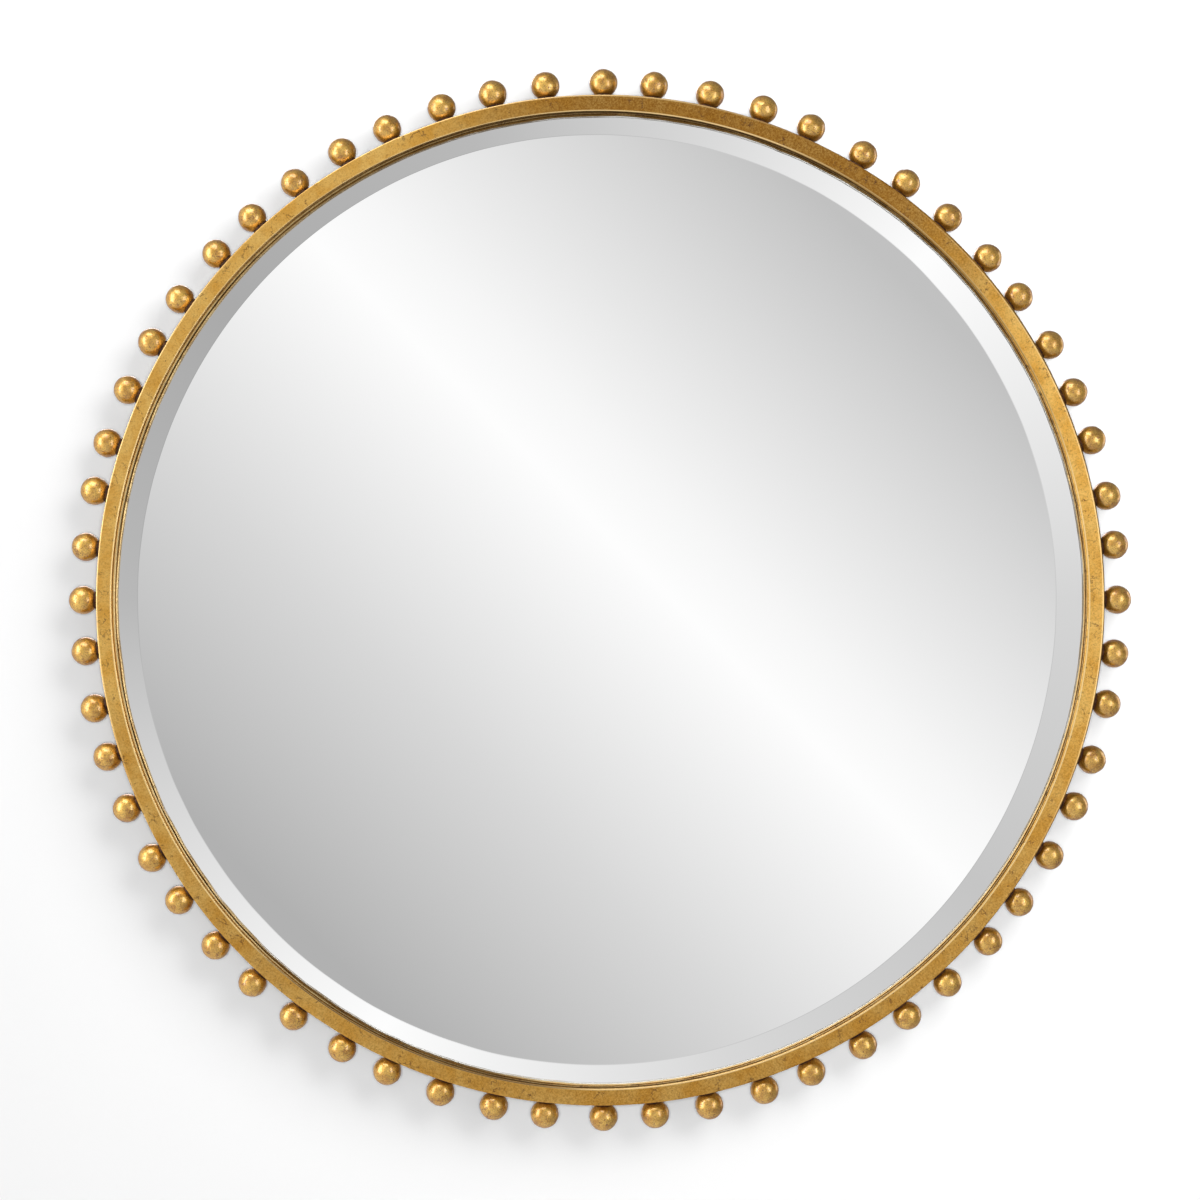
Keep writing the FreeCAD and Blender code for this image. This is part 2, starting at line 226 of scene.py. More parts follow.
def at_depth(radius: float, depth: float, angle: float = 0.0) -> Vector:
    """Place a point by its radius, depth and angle round the mirror.

    Args:
        radius: Millimetres from the mirror's centre.
        depth: Millimetres behind the band's front face.
        angle: Degrees round the mirror.

    Returns:
        The place in metres.
    """
    turn = math.radians(angle)
    return Vector((radius * math.cos(turn), depth - OVERALL_DEPTH, radius * math.sin(turn))) * MM


def settle(piece: Piece) -> None:
    """Move an object's place, turn and size into its mesh."""
    choose_object(piece)
    bpy.ops.object.transform_apply(location=True, rotation=True, scale=True)


def shade_by_angle(piece: Piece, crease: float) -> None:
    """Shade a piece smooth, but for edges that turn by more than a crease's degrees."""
    choose_object(piece)
    bpy.ops.object.shade_smooth_by_angle(angle=math.radians(crease))


def turned(name: str, outline: Outline) -> Piece:
    """Draw an outline by extruding a point, and spin it about the mirror's depth axis.

    Args:
        name: The piece's name.
        outline: (radius, depth) corners in millimetres, the first repeated at the end of a closed one.

    Returns:
        The piece, its seam and poles closed and its faces outwards.
    """
    corners = [at_depth(radius, depth) for radius, depth in outline]
    bpy.ops.object.select_all(action="DESELECT")
    bpy.ops.mesh.primitive_plane_add(size=MM, location=corners[0])
    piece = bpy.context.object
    piece.name = name
    piece.data.name = name
    settle(piece)
    with editing(piece):
        bpy.ops.mesh.merge(type="CENTER")
        for last, corner in zip(corners, corners[1:]):
            bpy.ops.mesh.extrude_region_move(TRANSFORM_OT_translate={"value": corner - last})
        bpy.ops.mesh.select_all(action="SELECT")
        bpy.ops.mesh.spin(steps=FINE_STEPS, angle=math.tau, center=(0, 0, 0), axis=(0, 1, 0))
        bpy.ops.mesh.select_all(action="SELECT")
        bpy.ops.mesh.remove_doubles(threshold=MERGE_DISTANCE * MM)
        bpy.ops.mesh.normals_make_consistent(inside=False)
    return piece


def round_ring_edge(piece: Piece, radius: float, depth: float, size: float, cuts: int = 3) -> None:
    """Round over one full circle of edges.

    Args:
        piece: A turned piece.
        radius: The circle's radius in millimetres.
        depth: The circle's depth in millimetres.
        size: How much is rounded over, in millimetres.
        cuts: How many faces make the round.
    """
    near = 0.05 * MM
    level = (depth - OVERALL_DEPTH) * MM
    with editing(piece):
        choose_points(piece, lambda p: abs(from_axis(p) - radius * MM) < near and abs(p.y - level) < near)
        bpy.ops.mesh.bevel(offset=size * MM, segments=cuts, affect="EDGES")


def ripple(piece: Piece, clouds: Pair, direction: str = "NORMAL", test: Test | None = None) -> None:
    """Push a surface in and out by soft clouds, as hammering or hand grinding leaves it.

    Args:
        piece: The object to work on.
        clouds: The clouds' size, and the height from the lowest to the highest, in millimetres.
        direction: "NORMAL", "X", "Y" or "Z".
        test: Chooses the points that move; all do without it.
    """
    size, height = clouds
    pattern = bpy.data.textures.new("clouds", "CLOUDS")
    pattern.noise_scale = size * MM
    pattern.noise_depth = 1
    modifier = piece.modifiers.new("ripple", "DISPLACE")
    modifier.texture = pattern
    modifier.texture_coords = "LOCAL"
    modifier.direction = direction
    modifier.mid_level = 0.5
    modifier.strength = height * MM
    if test is not None:
        group = piece.vertex_groups.new(name="rippled")
        group.add([v.index for v in piece.data.vertices if test(v.co)], 1.0, "REPLACE")
        modifier.vertex_group = group.name
    choose_object(piece)
    bpy.ops.object.modifier_apply(modifier=modifier.name)
    piece.vertex_groups.clear()


@dataclass(frozen=True)
class Warp:
    """How far a circle on the hoop is from round, in millimetres, as a hoop rolled by hand is.

    The radius grows by `grow` all round, and by `stretch` more along the long axis and less across it. The
    long axis leans by `lean` degrees from +X.
    """

    across: float
    up: float
    stretch: float
    lean: float
    grow: float = 0.0

    def apply(self, piece: Piece, radius: float, test: Test, fade: float) -> None:
        """Move the points near one circle.

        Args:
            piece: A turned piece.
            radius: The circle's radius in millimetres.
            test: Chooses the points that move fully.
            fade: How far beyond them others still move a little, in millimetres.
        """
        # The rotate operator turns against the right-hand rule, so its first turn brings the long axis to +X
        lean = math.radians(self.lean)
        size = (1 + (self.grow + self.stretch) / radius, 1, 1 + (self.grow - self.stretch) / radius)
        follow = {
            "use_proportional_edit": True,
            "use_proportional_connected": True,
            "proportional_edit_falloff": "SMOOTH",
            "proportional_size": fade * MM,
        }
        with editing(piece):
            bpy.ops.mesh.select_all(action="SELECT")
            bpy.ops.transform.rotate(value=-lean, orient_axis="Y", center_override=(0, 0, 0))
            choose_points(piece, test)
            bpy.ops.transform.resize(value=size, center_override=(0, 0, 0), **follow)
            bpy.ops.mesh.select_all(action="SELECT")
            bpy.ops.transform.rotate(value=lean, orient_axis="Y", center_override=(0, 0, 0))
            choose_points(piece, test)
            bpy.ops.transform.translate(value=(self.across * MM, 0, self.up * MM), **follow)


def twin(piece: Piece, place: Vector, turn: Triple) -> Piece:
    """Copy a piece that is modelled round the origin, with its own mesh.

    Args:
        piece: The model.
        place: Where the copy goes, in metres.
        turn: Its turn about X, Y and Z in radians.

    Returns:
        The copy, not yet settled.
    """
    copy = piece.copy()
    copy.data = piece.data.copy()
    bpy.context.scene.collection.objects.link(copy)
    copy.location = place
    copy.rotation_euler = turn
    return copy


def joined(name: str, pieces: Sequence[Piece]) -> Piece:
    """Join several objects into one piece, with their places in its mesh.

    Args:
        name: The new piece's name.
        pieces: The objects, the first of which stays.

    Returns:
        The joined piece.
    """
    bpy.ops.object.select_all(action="DESELECT")
    for piece in pieces:
        piece.select_set(True)
    bpy.context.view_layer.objects.active = pieces[0]
    bpy.ops.object.transform_apply(location=True, rotation=True, scale=True)
    bpy.ops.object.join()
    whole = bpy.context.object
    whole.name = name
    whole.data.name = name
    return whole


def hide(thing: Piece, *rays: str) -> None:
    """Hide an object from some kinds of ray."""
    for ray in rays:
        setattr(thing, "visible_" + ray, False)


def seat(piece: Piece, material: Material, slot: Slot, *nodes: str) -> None:
    """Give a finished piece its material, and let it ride on the mirror in place of CAD nodes.

    Args:
        piece: The finished piece.
        material: Its material.
        slot: The record's slot for its finish; not used.
        nodes: The CAD nodes that it stands for.
    """
    piece.data.materials.clear()
    piece.data.materials.append(material)
    # The wall in the picture is plain grey in the shadow, so the gold throws no warm light on it
    hide(piece, "diffuse")
    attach(piece, Body.MIRROR.value)
    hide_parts(*nodes)
    log.info("%s stands for %s, %d faces", piece.name, ", ".join(nodes), len(piece.data.polygons))


def dress(material: Material, *nodes: str) -> None:
    """Give CAD nodes, whose shape is right as it is, a material.

    Args:
        material: The material.
        nodes: The CAD nodes' names.
    """
    for node in nodes:
        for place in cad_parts[node].material_slots:
            place.material = material
    log.info("%s on %s", material.name, ", ".join(nodes))


@dataclass(frozen=True)
class HoopStretch:
    """A stretch of the hoop where a tone lies, a glaze, a painted highlight or painted shade: its middle and
    half spread in degrees, and its strength.
    """

    angle: float
    spread: float
    strength: float = 1.0


@dataclass(frozen=True)
class Stripe:
    """A soft line round the hoop, worn bright by rubbing, or painted as a highlight or as shade: its radius
    and half width in millimetres.

    It goes all round, or shows on one stretch alone.
    """

    radius: float
    half_width: float
    strength: float
    colour: str = "FFE0A2"
    stretch: HoopStretch | None = None


@dataclass(frozen=True)
class LeafSockets:
    """What the layers of a leaf are laid out by.

    `place` is a point's place, `flat` the same seen from the front, `radius` its distance from the mirror's
    axis in metres, and `clouds` and `grain` the coarse and fine patterns that break the layers up.
    """

    tree: Tree
    place: Socket
    flat: Socket
    radius: Socket
    clouds: Socket
    grain: Socket


@dataclass(frozen=True)
class GoldLeaf:
    """Imitation gold leaf laid over red-brown bole on steel, worn back by rubbing, glazed and lacquered.

    It reads as a warm satin gold with pale highlights, cloudy from the glaze, with fine grain, dark pinholes
    and short cracks where the bole shows. Its edges are brighter from rubbing and from painted highlights,
    and painted shade darkens stretches of the hoop and the balls where they meet the band. The real cracks
    are
    hair thin: here they are as wide as they need to be to show. A field that ends in `reach` is the stretch
    of a pattern's scale over which a layer comes in.
    """

    name: str
    light: str = "F0C36C"
    mid: str = "E2AA4C"
    # The glaze colour also paints shade on stretches of the hoop, and the bole colour paints shade where the
    # balls meet the band
    glaze: str = "7E4E14"
    bole: str = "472410"
    roughness: float = 0.36
    roughness_span: Pair = (-0.05, 0.1)
    bole_metallic: float = 0.5
    lacquer: float = 0.0
    lacquer_roughness: float = 0.26
    lacquer_ior: float = 1.5
    edge_tint: str = "FFFFFF"
    cloud_mm: float = 26.0
    cloud_reach: Pair = (0.36, 0.62)
    grain_mm: float = 1.7
    grain_reach: Pair = (0.42, 0.72)
    grain_share: float = 0.48
    speckle_reach: Pair = (0.35, 0.65)
    speckle_span: Pair = (0.8, 1.2)
    fleck_mm: float = 1.0
    fleck_reach: Pair = (0.6, 0.7)
    fleck_share: float = 0.36
    crack_mm: float = 11.0
    crack_bend_mm: float = 9.0
    crack_width_share: float = 0.06
    crack_patch_mm: float = 15.0
    crack_reach: Pair = (0.54, 0.61)
    pinhole_mm: float = 2.4
    pinhole_share: float = 0.3
    pinhole_edge_share: float = 0.06
    mark_share: float = 0.85
    ragged_share: float = 0.06
    bump: float = 0.25
    bump_mm: float = 0.15
    stripes: tuple[Stripe, ...] = ()
    # Painted shade on the balls towards the rim, where they meet the band
    rim_shade_radii: tuple[float, ...] = ()
    rim_shade_wander_mm: float = 6.0
    rim_shade_share: float = 0.62
    # Stretches of the hoop darkened by glaze, most of them painted shade
    glazed_and_shaded_stretches: tuple[HoopStretch, ...] = ()

    def material(self) -> Material:
        """Make the leaf's material.

        Returns:
            The material.
        """
        material, tree, shader, place = new_material(self.name)
        flat = add_node(tree, "VectorMath", {"operation": "MULTIPLY", 0: place, 1: (1, 0, 1)})
        radius = add_node(tree, "VectorMath", {"operation": "LENGTH", 0: flat}, "Value")
        settings = {"Scale": 1 / (self.cloud_mm * MM), "Detail": 5, "Roughness": 0.6, "Vector": place}
        clouds = add_node(tree, "TexNoise", settings)
        settings = {"Scale": 1 / (self.grain_mm * MM), "Detail": 3, "Roughness": 0.7, "Vector": place}
        grain = add_node(tree, "TexNoise", settings)
        at = LeafSockets(tree, place, flat, radius, clouds, grain)
        marks = self.marks(at)
        stops = list(zip(self.cloud_reach, (self.mid, self.light)))
        colour = add_node(tree, "ValToRGB", {"stops": stops, 0: clouds})
        for share, over in self.layers(at, marks):
            settings = {"data_type": "RGBA", MIX_FACTOR: share, MIX_A: colour, MIX_B: linear(over)}
            colour = add_node(tree, "Mix", settings, MIX_RESULT)
        smoothest, roughest = (self.roughness + step for step in self.roughness_span)
        settings = {0: grain, 1: NOISE_LOW, 2: NOISE_HIGH, 3: smoothest, 4: roughest}
        dull = add_node(tree, "MapRange", settings)
        height = add_node(tree, "Math", {"operation": "SUBTRACT", 0: grain, 1: marks})
        settings = {"Strength": self.bump, "Distance": self.bump_mm * MM, "Height": height}
        looks = {
            "Base Color": colour,
            "Metallic": add_node(tree, "MapRange", {0: marks, 1: 0.0, 2: 1.0, 3: 1.0, 4: self.bole_metallic}),
            "Roughness": dull,
            "Normal": add_node(tree, "Bump", settings),
            "Coat Weight": self.lacquer,
            "Coat Roughness": self.lacquer_roughness,
            "Coat IOR": self.lacquer_ior,
            "Specular Tint": linear(self.edge_tint),
        }
        feed(shader, looks)
        return material

    def layers(self, at: LeafSockets, marks: Socket) -> list[tuple[Socket, str]]:
        """Find what lies over the leaf's two golds, from the lowest layer up.

        Args:
            at: The leaf's sockets.
            marks: The pinholes' and cracks' share.

        Returns:
            Each layer's share and colour.
        """
        low, high = self.grain_reach
        settings = {0: at.grain, 1: low, 2: high, 3: 0.0, 4: self.grain_share}
        layers = [(add_node(at.tree, "MapRange", settings), self.glaze)]
        low, high = self.speckle_reach
        weakest, strongest = self.speckle_span
        speckle = add_node(at.tree, "MapRange", {0: at.grain, 1: low, 2: high, 3: weakest, 4: strongest})
        # Glaze and painted shade over stretches of the hoop
        for hoop_stretch in self.glazed_and_shaded_stretches:
            settings = {"operation": "MULTIPLY", 0: self.toned(at, hoop_stretch), 1: speckle}
            layers.append((add_node(at.tree, "Math", settings), self.glaze))
        settings = {
            "Scale": 1 / (self.fleck_mm * MM),
            "Detail": 2,
            "Roughness": 0.6,
            "Distortion": 0.6,
            "Vector": at.place,
        }
        flakes = add_node(at.tree, "TexNoise", settings)
        low, high = self.fleck_reach
        settings = {0: flakes, 1: low, 2: high, 3: 0.0, 4: self.fleck_share}
        layers.append((add_node(at.tree, "MapRange", settings), self.light))
        # Painted shade towards the rim, where the balls meet the band
        if self.rim_shade_radii:
            layers.append((self.rim_shade(at), self.bole))
        layers.append((marks, self.bole))
        # Soft lines round the hoop: wear from rubbing, painted highlights and painted shade
        layers.extend((self.line(at, stripe), stripe.colour) for stripe in self.stripes)
        return layers

    def toned(self, at: LeafSockets, hoop_stretch: HoopStretch) -> Socket:
        """Find how much of a tone lies on a stretch of the hoop.

        Args:
            at: The leaf's sockets.
            hoop_stretch: The stretch.

        Returns:
            The tone's share.
        """
        turn = math.radians(hoop_stretch.angle)
        unit = add_node(at.tree, "VectorMath", {"operation": "NORMALIZE", 0: at.flat})
        settings = {"operation": "DOT_PRODUCT", 0: unit, 1: (math.cos(turn), 0, math.sin(turn))}
        along = add_node(at.tree, "VectorMath", settings, "Value")
        settings = {"operation": "MULTIPLY_ADD", 0: at.clouds, 1: self.ragged_share, 2: along}
        settings = {
            "interpolation_type": "SMOOTHSTEP",
            0: add_node(at.tree, "Math", settings),
            1: math.cos(math.radians(hoop_stretch.spread)),
            2: 1.0,
            3: 0.0,
            4: hoop_stretch.strength,
        }
        return add_node(at.tree, "MapRange", settings)

    def rim_shade(self, at: LeafSockets) -> Socket:
        """Find where painted shade darkens the leaf towards the rim, where the balls meet the band: fully at
        the low radius, and not at the high one.

        Args:
            at: The leaf's sockets.

        Returns:
            The painted shade's share.
        """
        low, high = (radius + self.rim_shade_wander_mm / 2 for radius in self.rim_shade_radii)
        settings = {"operation": "MULTIPLY_ADD", 0: at.clouds, 1: self.rim_shade_wander_mm * MM, 2: at.radius}
        settings = {
            "interpolation_type": "SMOOTHSTEP",
            0: add_node(at.tree, "Math", settings),
            1: low * MM,
            2: high * MM,
            3: self.rim_shade_share,
            4: 0.0,
        }
        return add_node(at.tree, "MapRange", settings)

    def line(self, at: LeafSockets, stripe: Stripe) -> Socket:
        """Draw a soft line round the hoop.

        Args:
            at: The leaf's sockets.
            stripe: The line.

        Returns:
            The line's share.
        """
        away = add_node(at.tree, "Math", {"operation": "SUBTRACT", 0: at.radius, 1: stripe.radius * MM})
        settings = {
            "interpolation_type": "SMOOTHSTEP",
            0: add_node(at.tree, "Math", {"operation": "ABSOLUTE", 0: away}),
            1: 0.0,
            2: stripe.half_width * MM,
            3: stripe.strength,
            4: 0.0,
        }
        share = add_node(at.tree, "MapRange", settings)
        if stripe.stretch is None:
            return share
        settings = {"operation": "MULTIPLY", 0: share, 1: self.toned(at, stripe.stretch)}
        return add_node(at.tree, "Math", settings)

    def marks(self, at: LeafSockets) -> Socket:
        """Draw the pinholes and the short cracks where the bole shows.

        Args:
            at: The leaf's sockets.

        Returns:
            The marks' share, from 0 to 1.
        """
        settings = {"Scale": 3 / (self.crack_mm * MM), "Detail": 2, "Vector": at.place}
        bend = add_node(at.tree, "TexNoise", settings, "Color")
        settings = {"operation": "SCALE", 0: bend, "Scale": self.crack_bend_mm * MM}
        shift = add_node(at.tree, "VectorMath", settings)
        bent = add_node(at.tree, "VectorMath", {"operation": "ADD", 0: at.place, 1: shift})
        settings = {"feature": "DISTANCE_TO_EDGE", "Scale": 1 / (self.crack_mm * MM), "Vector": bent}
        seam = add_node(at.tree, "TexVoronoi", settings, "Distance")
        thin = add_node(at.tree, "MapRange", {0: seam, 1: 0.0, 2: self.crack_width_share, 3: 1.0, 4: 0.0})
        settings = {"Scale": 1 / (self.crack_patch_mm * MM), "Detail": 3, "Roughness": 0.6}
        patch = add_node(at.tree, "TexNoise", {**settings, "Vector": at.place})
        low, high = self.crack_reach
        here = add_node(at.tree, "MapRange", {0: patch, 1: low, 2: high, 3: 0.0, 4: self.mark_share})
        cracks = add_node(at.tree, "Math", {"operation": "MULTIPLY", 0: thin, 1: here})
        settings = {"Scale": 1 / (self.pinhole_mm * MM), "Detail": 2, "Vector": at.place}
        dots = add_node(at.tree, "TexNoise", settings)
        low = 1 - self.pinhole_share
        high = 1 + self.pinhole_edge_share - self.pinhole_share
        pinholes = add_node(at.tree, "MapRange", {0: dots, 1: low, 2: high, 3: 0.0, 4: self.mark_share})
        return add_node(at.tree, "Math", {"operation": "MAXIMUM", 0: cracks, 1: pinholes})


@dataclass(frozen=True)
class Finish:
    """Two tones over soft clouds, with a relief. A finish that shows more adds to it.

    `reach` gives the places on the clouds' scale where the dark and the light tone are full.
    """

    name: str
    dark: str
    light: str
    reach: Pair = (0.4, 0.75)
    cloud_mm: float = 6.0
    cloud_detail: float = 3.0
    roughness: float = 0.7
    metallic: float = 0.0
    bump: float = 0.3
    bump_mm: float = 0.1

    def height(self, tree: Tree, place: Socket, clouds: Socket) -> Socket:
        """The height of the relief, here the clouds' own."""
        return clouds

    def colour(self, tree: Tree, tone: Socket, height: Socket) -> Socket:
        """The colour over the two tones, here nothing more."""
        return tone

    def shine(self, tree: Tree, height: Socket) -> Socket | float:
        """The roughness, here the same all over."""
        return self.roughness

    def material(self) -> Material:
        """Make the material.

        Returns:
            The material.
        """
        material, tree, shader, place = new_material(self.name)
        settings = {"Scale": 1 / (self.cloud_mm * MM), "Detail": self.cloud_detail, "Vector": place}
        clouds = add_node(tree, "TexNoise", settings)
        stops = list(zip(self.reach, (self.dark, self.light)))
        tone = add_node(tree, "ValToRGB", {"stops": stops, 0: clouds})
        height = self.height(tree, place, clouds)
        settings = {"Strength": self.bump, "Distance": self.bump_mm * MM, "Height": height}
        looks = {
            "Base Color": self.colour(tree, tone, height),
            "Metallic": self.metallic,
            "Roughness": self.shine(tree, height),
            "Normal": add_node(tree, "Bump", settings),
        }
        feed(shader, looks)
        return material


@dataclass(frozen=True)
class BurntWeld(Finish):
    """Steel weld under thin bole: nearly black brown, lumpy and dull, with a few paler brown smears."""

    name: str = "burnt_weld"
    dark: str = "2A150B"
    light: str = "5E3A1A"
    reach: Pair = (0.4, 0.72)
    cloud_mm: float = 3.0
    cloud_detail: float = 4.0
    roughness: float = 0.55
    metallic: float = 0.55
    bump: float = 0.5
    bump_mm: float = 0.3


@dataclass(frozen=True)
class Coating(Finish):
    """A sprayed or foamed layer that shows only at the glass's edge: matte, with a faint orange peel."""

    reach: Pair = (0.4, 0.6)
    cloud_mm: float = 1.2
    bump: float = 0.2


@dataclass(frozen=True)
class Rubber(Finish):
    """Moulded black rubber: near black, matte, with a faint cloud of bloom and a fine pebble."""

    dark: str = "141415"
    light: str = "2B2B2D"
    roughness: float = 0.72
    pebble_mm: float = 0.6

    def height(self, tree: Tree, place: Socket, clouds: Socket) -> Socket:
        """The pebble's height."""
        return add_node(tree, "TexNoise", {"Scale": 1 / (self.pebble_mm * MM), "Detail": 1, "Vector": place})


@dataclass(frozen=True)
class ZincPlate(Finish):
    """Cold-rolled steel with bright zinc plating: pale grey, softly mottled, with fine rolling lines."""

    dark: str = "BCBFC2"
    light: str = "D6D8DA"
    reach: Pair = (0.35, 0.65)
    cloud_mm: float = 14.0
    cloud_detail: float = 4.0
    roughness: float = 0.34
    metallic: float = 1.0
    bump: float = 0.15
    bump_mm: float = 0.05
    grain_mm: float = 0.9
    grain_draw: Triple = (1, 1, 0.06)
    roughness_span: Pair = (-0.06, 0.1)

    def height(self, tree: Tree, place: Socket, clouds: Socket) -> Socket:
        """Draw the rolling lines.

        Args:
            tree: The material's tree.
            place: A point's place.
            clouds: The two tones' clouds, which the lines don't follow.

        Returns:
            The lines' height.
        """
        long = add_node(tree, "Mapping", {"Scale": self.grain_draw, "Vector": place})
        return add_node(tree, "TexNoise", {"Scale": 1 / (self.grain_mm * MM), "Detail": 2, "Vector": long})

    def shine(self, tree: Tree, height: Socket) -> Socket:
        """Let the roughness follow the rolling lines.

        Args:
            tree: The material's tree.
            height: The lines' height.

        Returns:
            The roughness.
        """
        smoothest, roughest = (self.roughness + step for step in self.roughness_span)
        settings = {0: height, 1: NOISE_LOW, 2: NOISE_HIGH, 3: smoothest, 4: roughest}
        return add_node(tree, "MapRange", settings)


@dataclass(frozen=True)
class Fibreboard(Finish):
    """Medium-density fibreboard, pressed and sawn: flat tan brown, felted with short pale and dark fibres."""

    name: str = "fibreboard"
    dark: str = "9A7850"
    light: str = "AC8B62"
    reach: Pair = (0.35, 0.68)
    cloud_mm: float = 130.0
    cloud_detail: float = 7.0
    roughness: float = 0.82
    bump: float = 0.35
    bump_mm: float = 0.12
    fibre_mm: float = 2.2
    fibre_draw: Triple = (0.35, 1, 1)
    pale_fibre: str = "CDB48C"
    pale_reach: Pair = (0.52, 0.72)
    pale_share: float = 0.55
    dark_fibre: str = "7A5A35"
    dark_reach: Pair = (0.48, 0.3)
    dark_share: float = 0.5

    def height(self, tree: Tree, place: Socket, clouds: Socket) -> Socket:
        """Felt the fibres.

        Args:
            tree: The material's tree.
            place: A point's place.
            clouds: The two tones' clouds, which the fibres don't follow.

        Returns:
            The fibres' height.
        """
        long = add_node(tree, "Mapping", {"Scale": self.fibre_draw, "Vector": place})
        settings = {"Scale": 1 / (self.fibre_mm * MM), "Detail": 4, "Distortion": 1.5, "Vector": long}
        return add_node(tree, "TexNoise", settings)

    def colour(self, tree: Tree, tone: Socket, height: Socket) -> Socket:
        """Lay the pale and the dark fibres over the two tones.

        Args:
            tree: The material's tree.
            tone: The colour so far.
            height: The fibres' height.

        Returns:
            The colour.
        """
        pale = (self.pale_fibre, self.pale_reach, self.pale_share)
        dark = (self.dark_fibre, self.dark_reach, self.dark_share)
        for fibre, (low, high), most in (pale, dark):
            share = add_node(tree, "MapRange", {0: height, 1: low, 2: high, 3: 0.0, 4: most})
            settings = {"data_type": "RGBA", MIX_FACTOR: share, MIX_A: tone, MIX_B: linear(fibre)}
            tone = add_node(tree, "Mix", settings, MIX_RESULT)
        return tone


@dataclass(frozen=True)
class SilveredGlass:
    """Float glass silvered on its back and polished on its bevel: a clean reflection with a faint haze."""

    name: str = "silvered_glass"
    silver: str = "F7F7F7"
    haze_mm: float = 90.0
    haze_roughness: float = 0.012

    def material(self) -> Material:
        """Make the mirror's material.

        Returns:
            The material.
        """
        material, tree, shader, place = new_material(self.name)
        haze = add_node(tree, "TexNoise", {"Scale": 1 / (self.haze_mm * MM), "Detail": 2, "Vector": place})
        settings = {0: haze, 1: NOISE_LOW, 2: NOISE_HIGH, 3: 0.0, 4: self.haze_roughness}
        shine = add_node(tree, "MapRange", settings)
        feed(shader, {"Base Color": linear(self.silver), "Metallic": 1.0, "Roughness": shine})
        return material


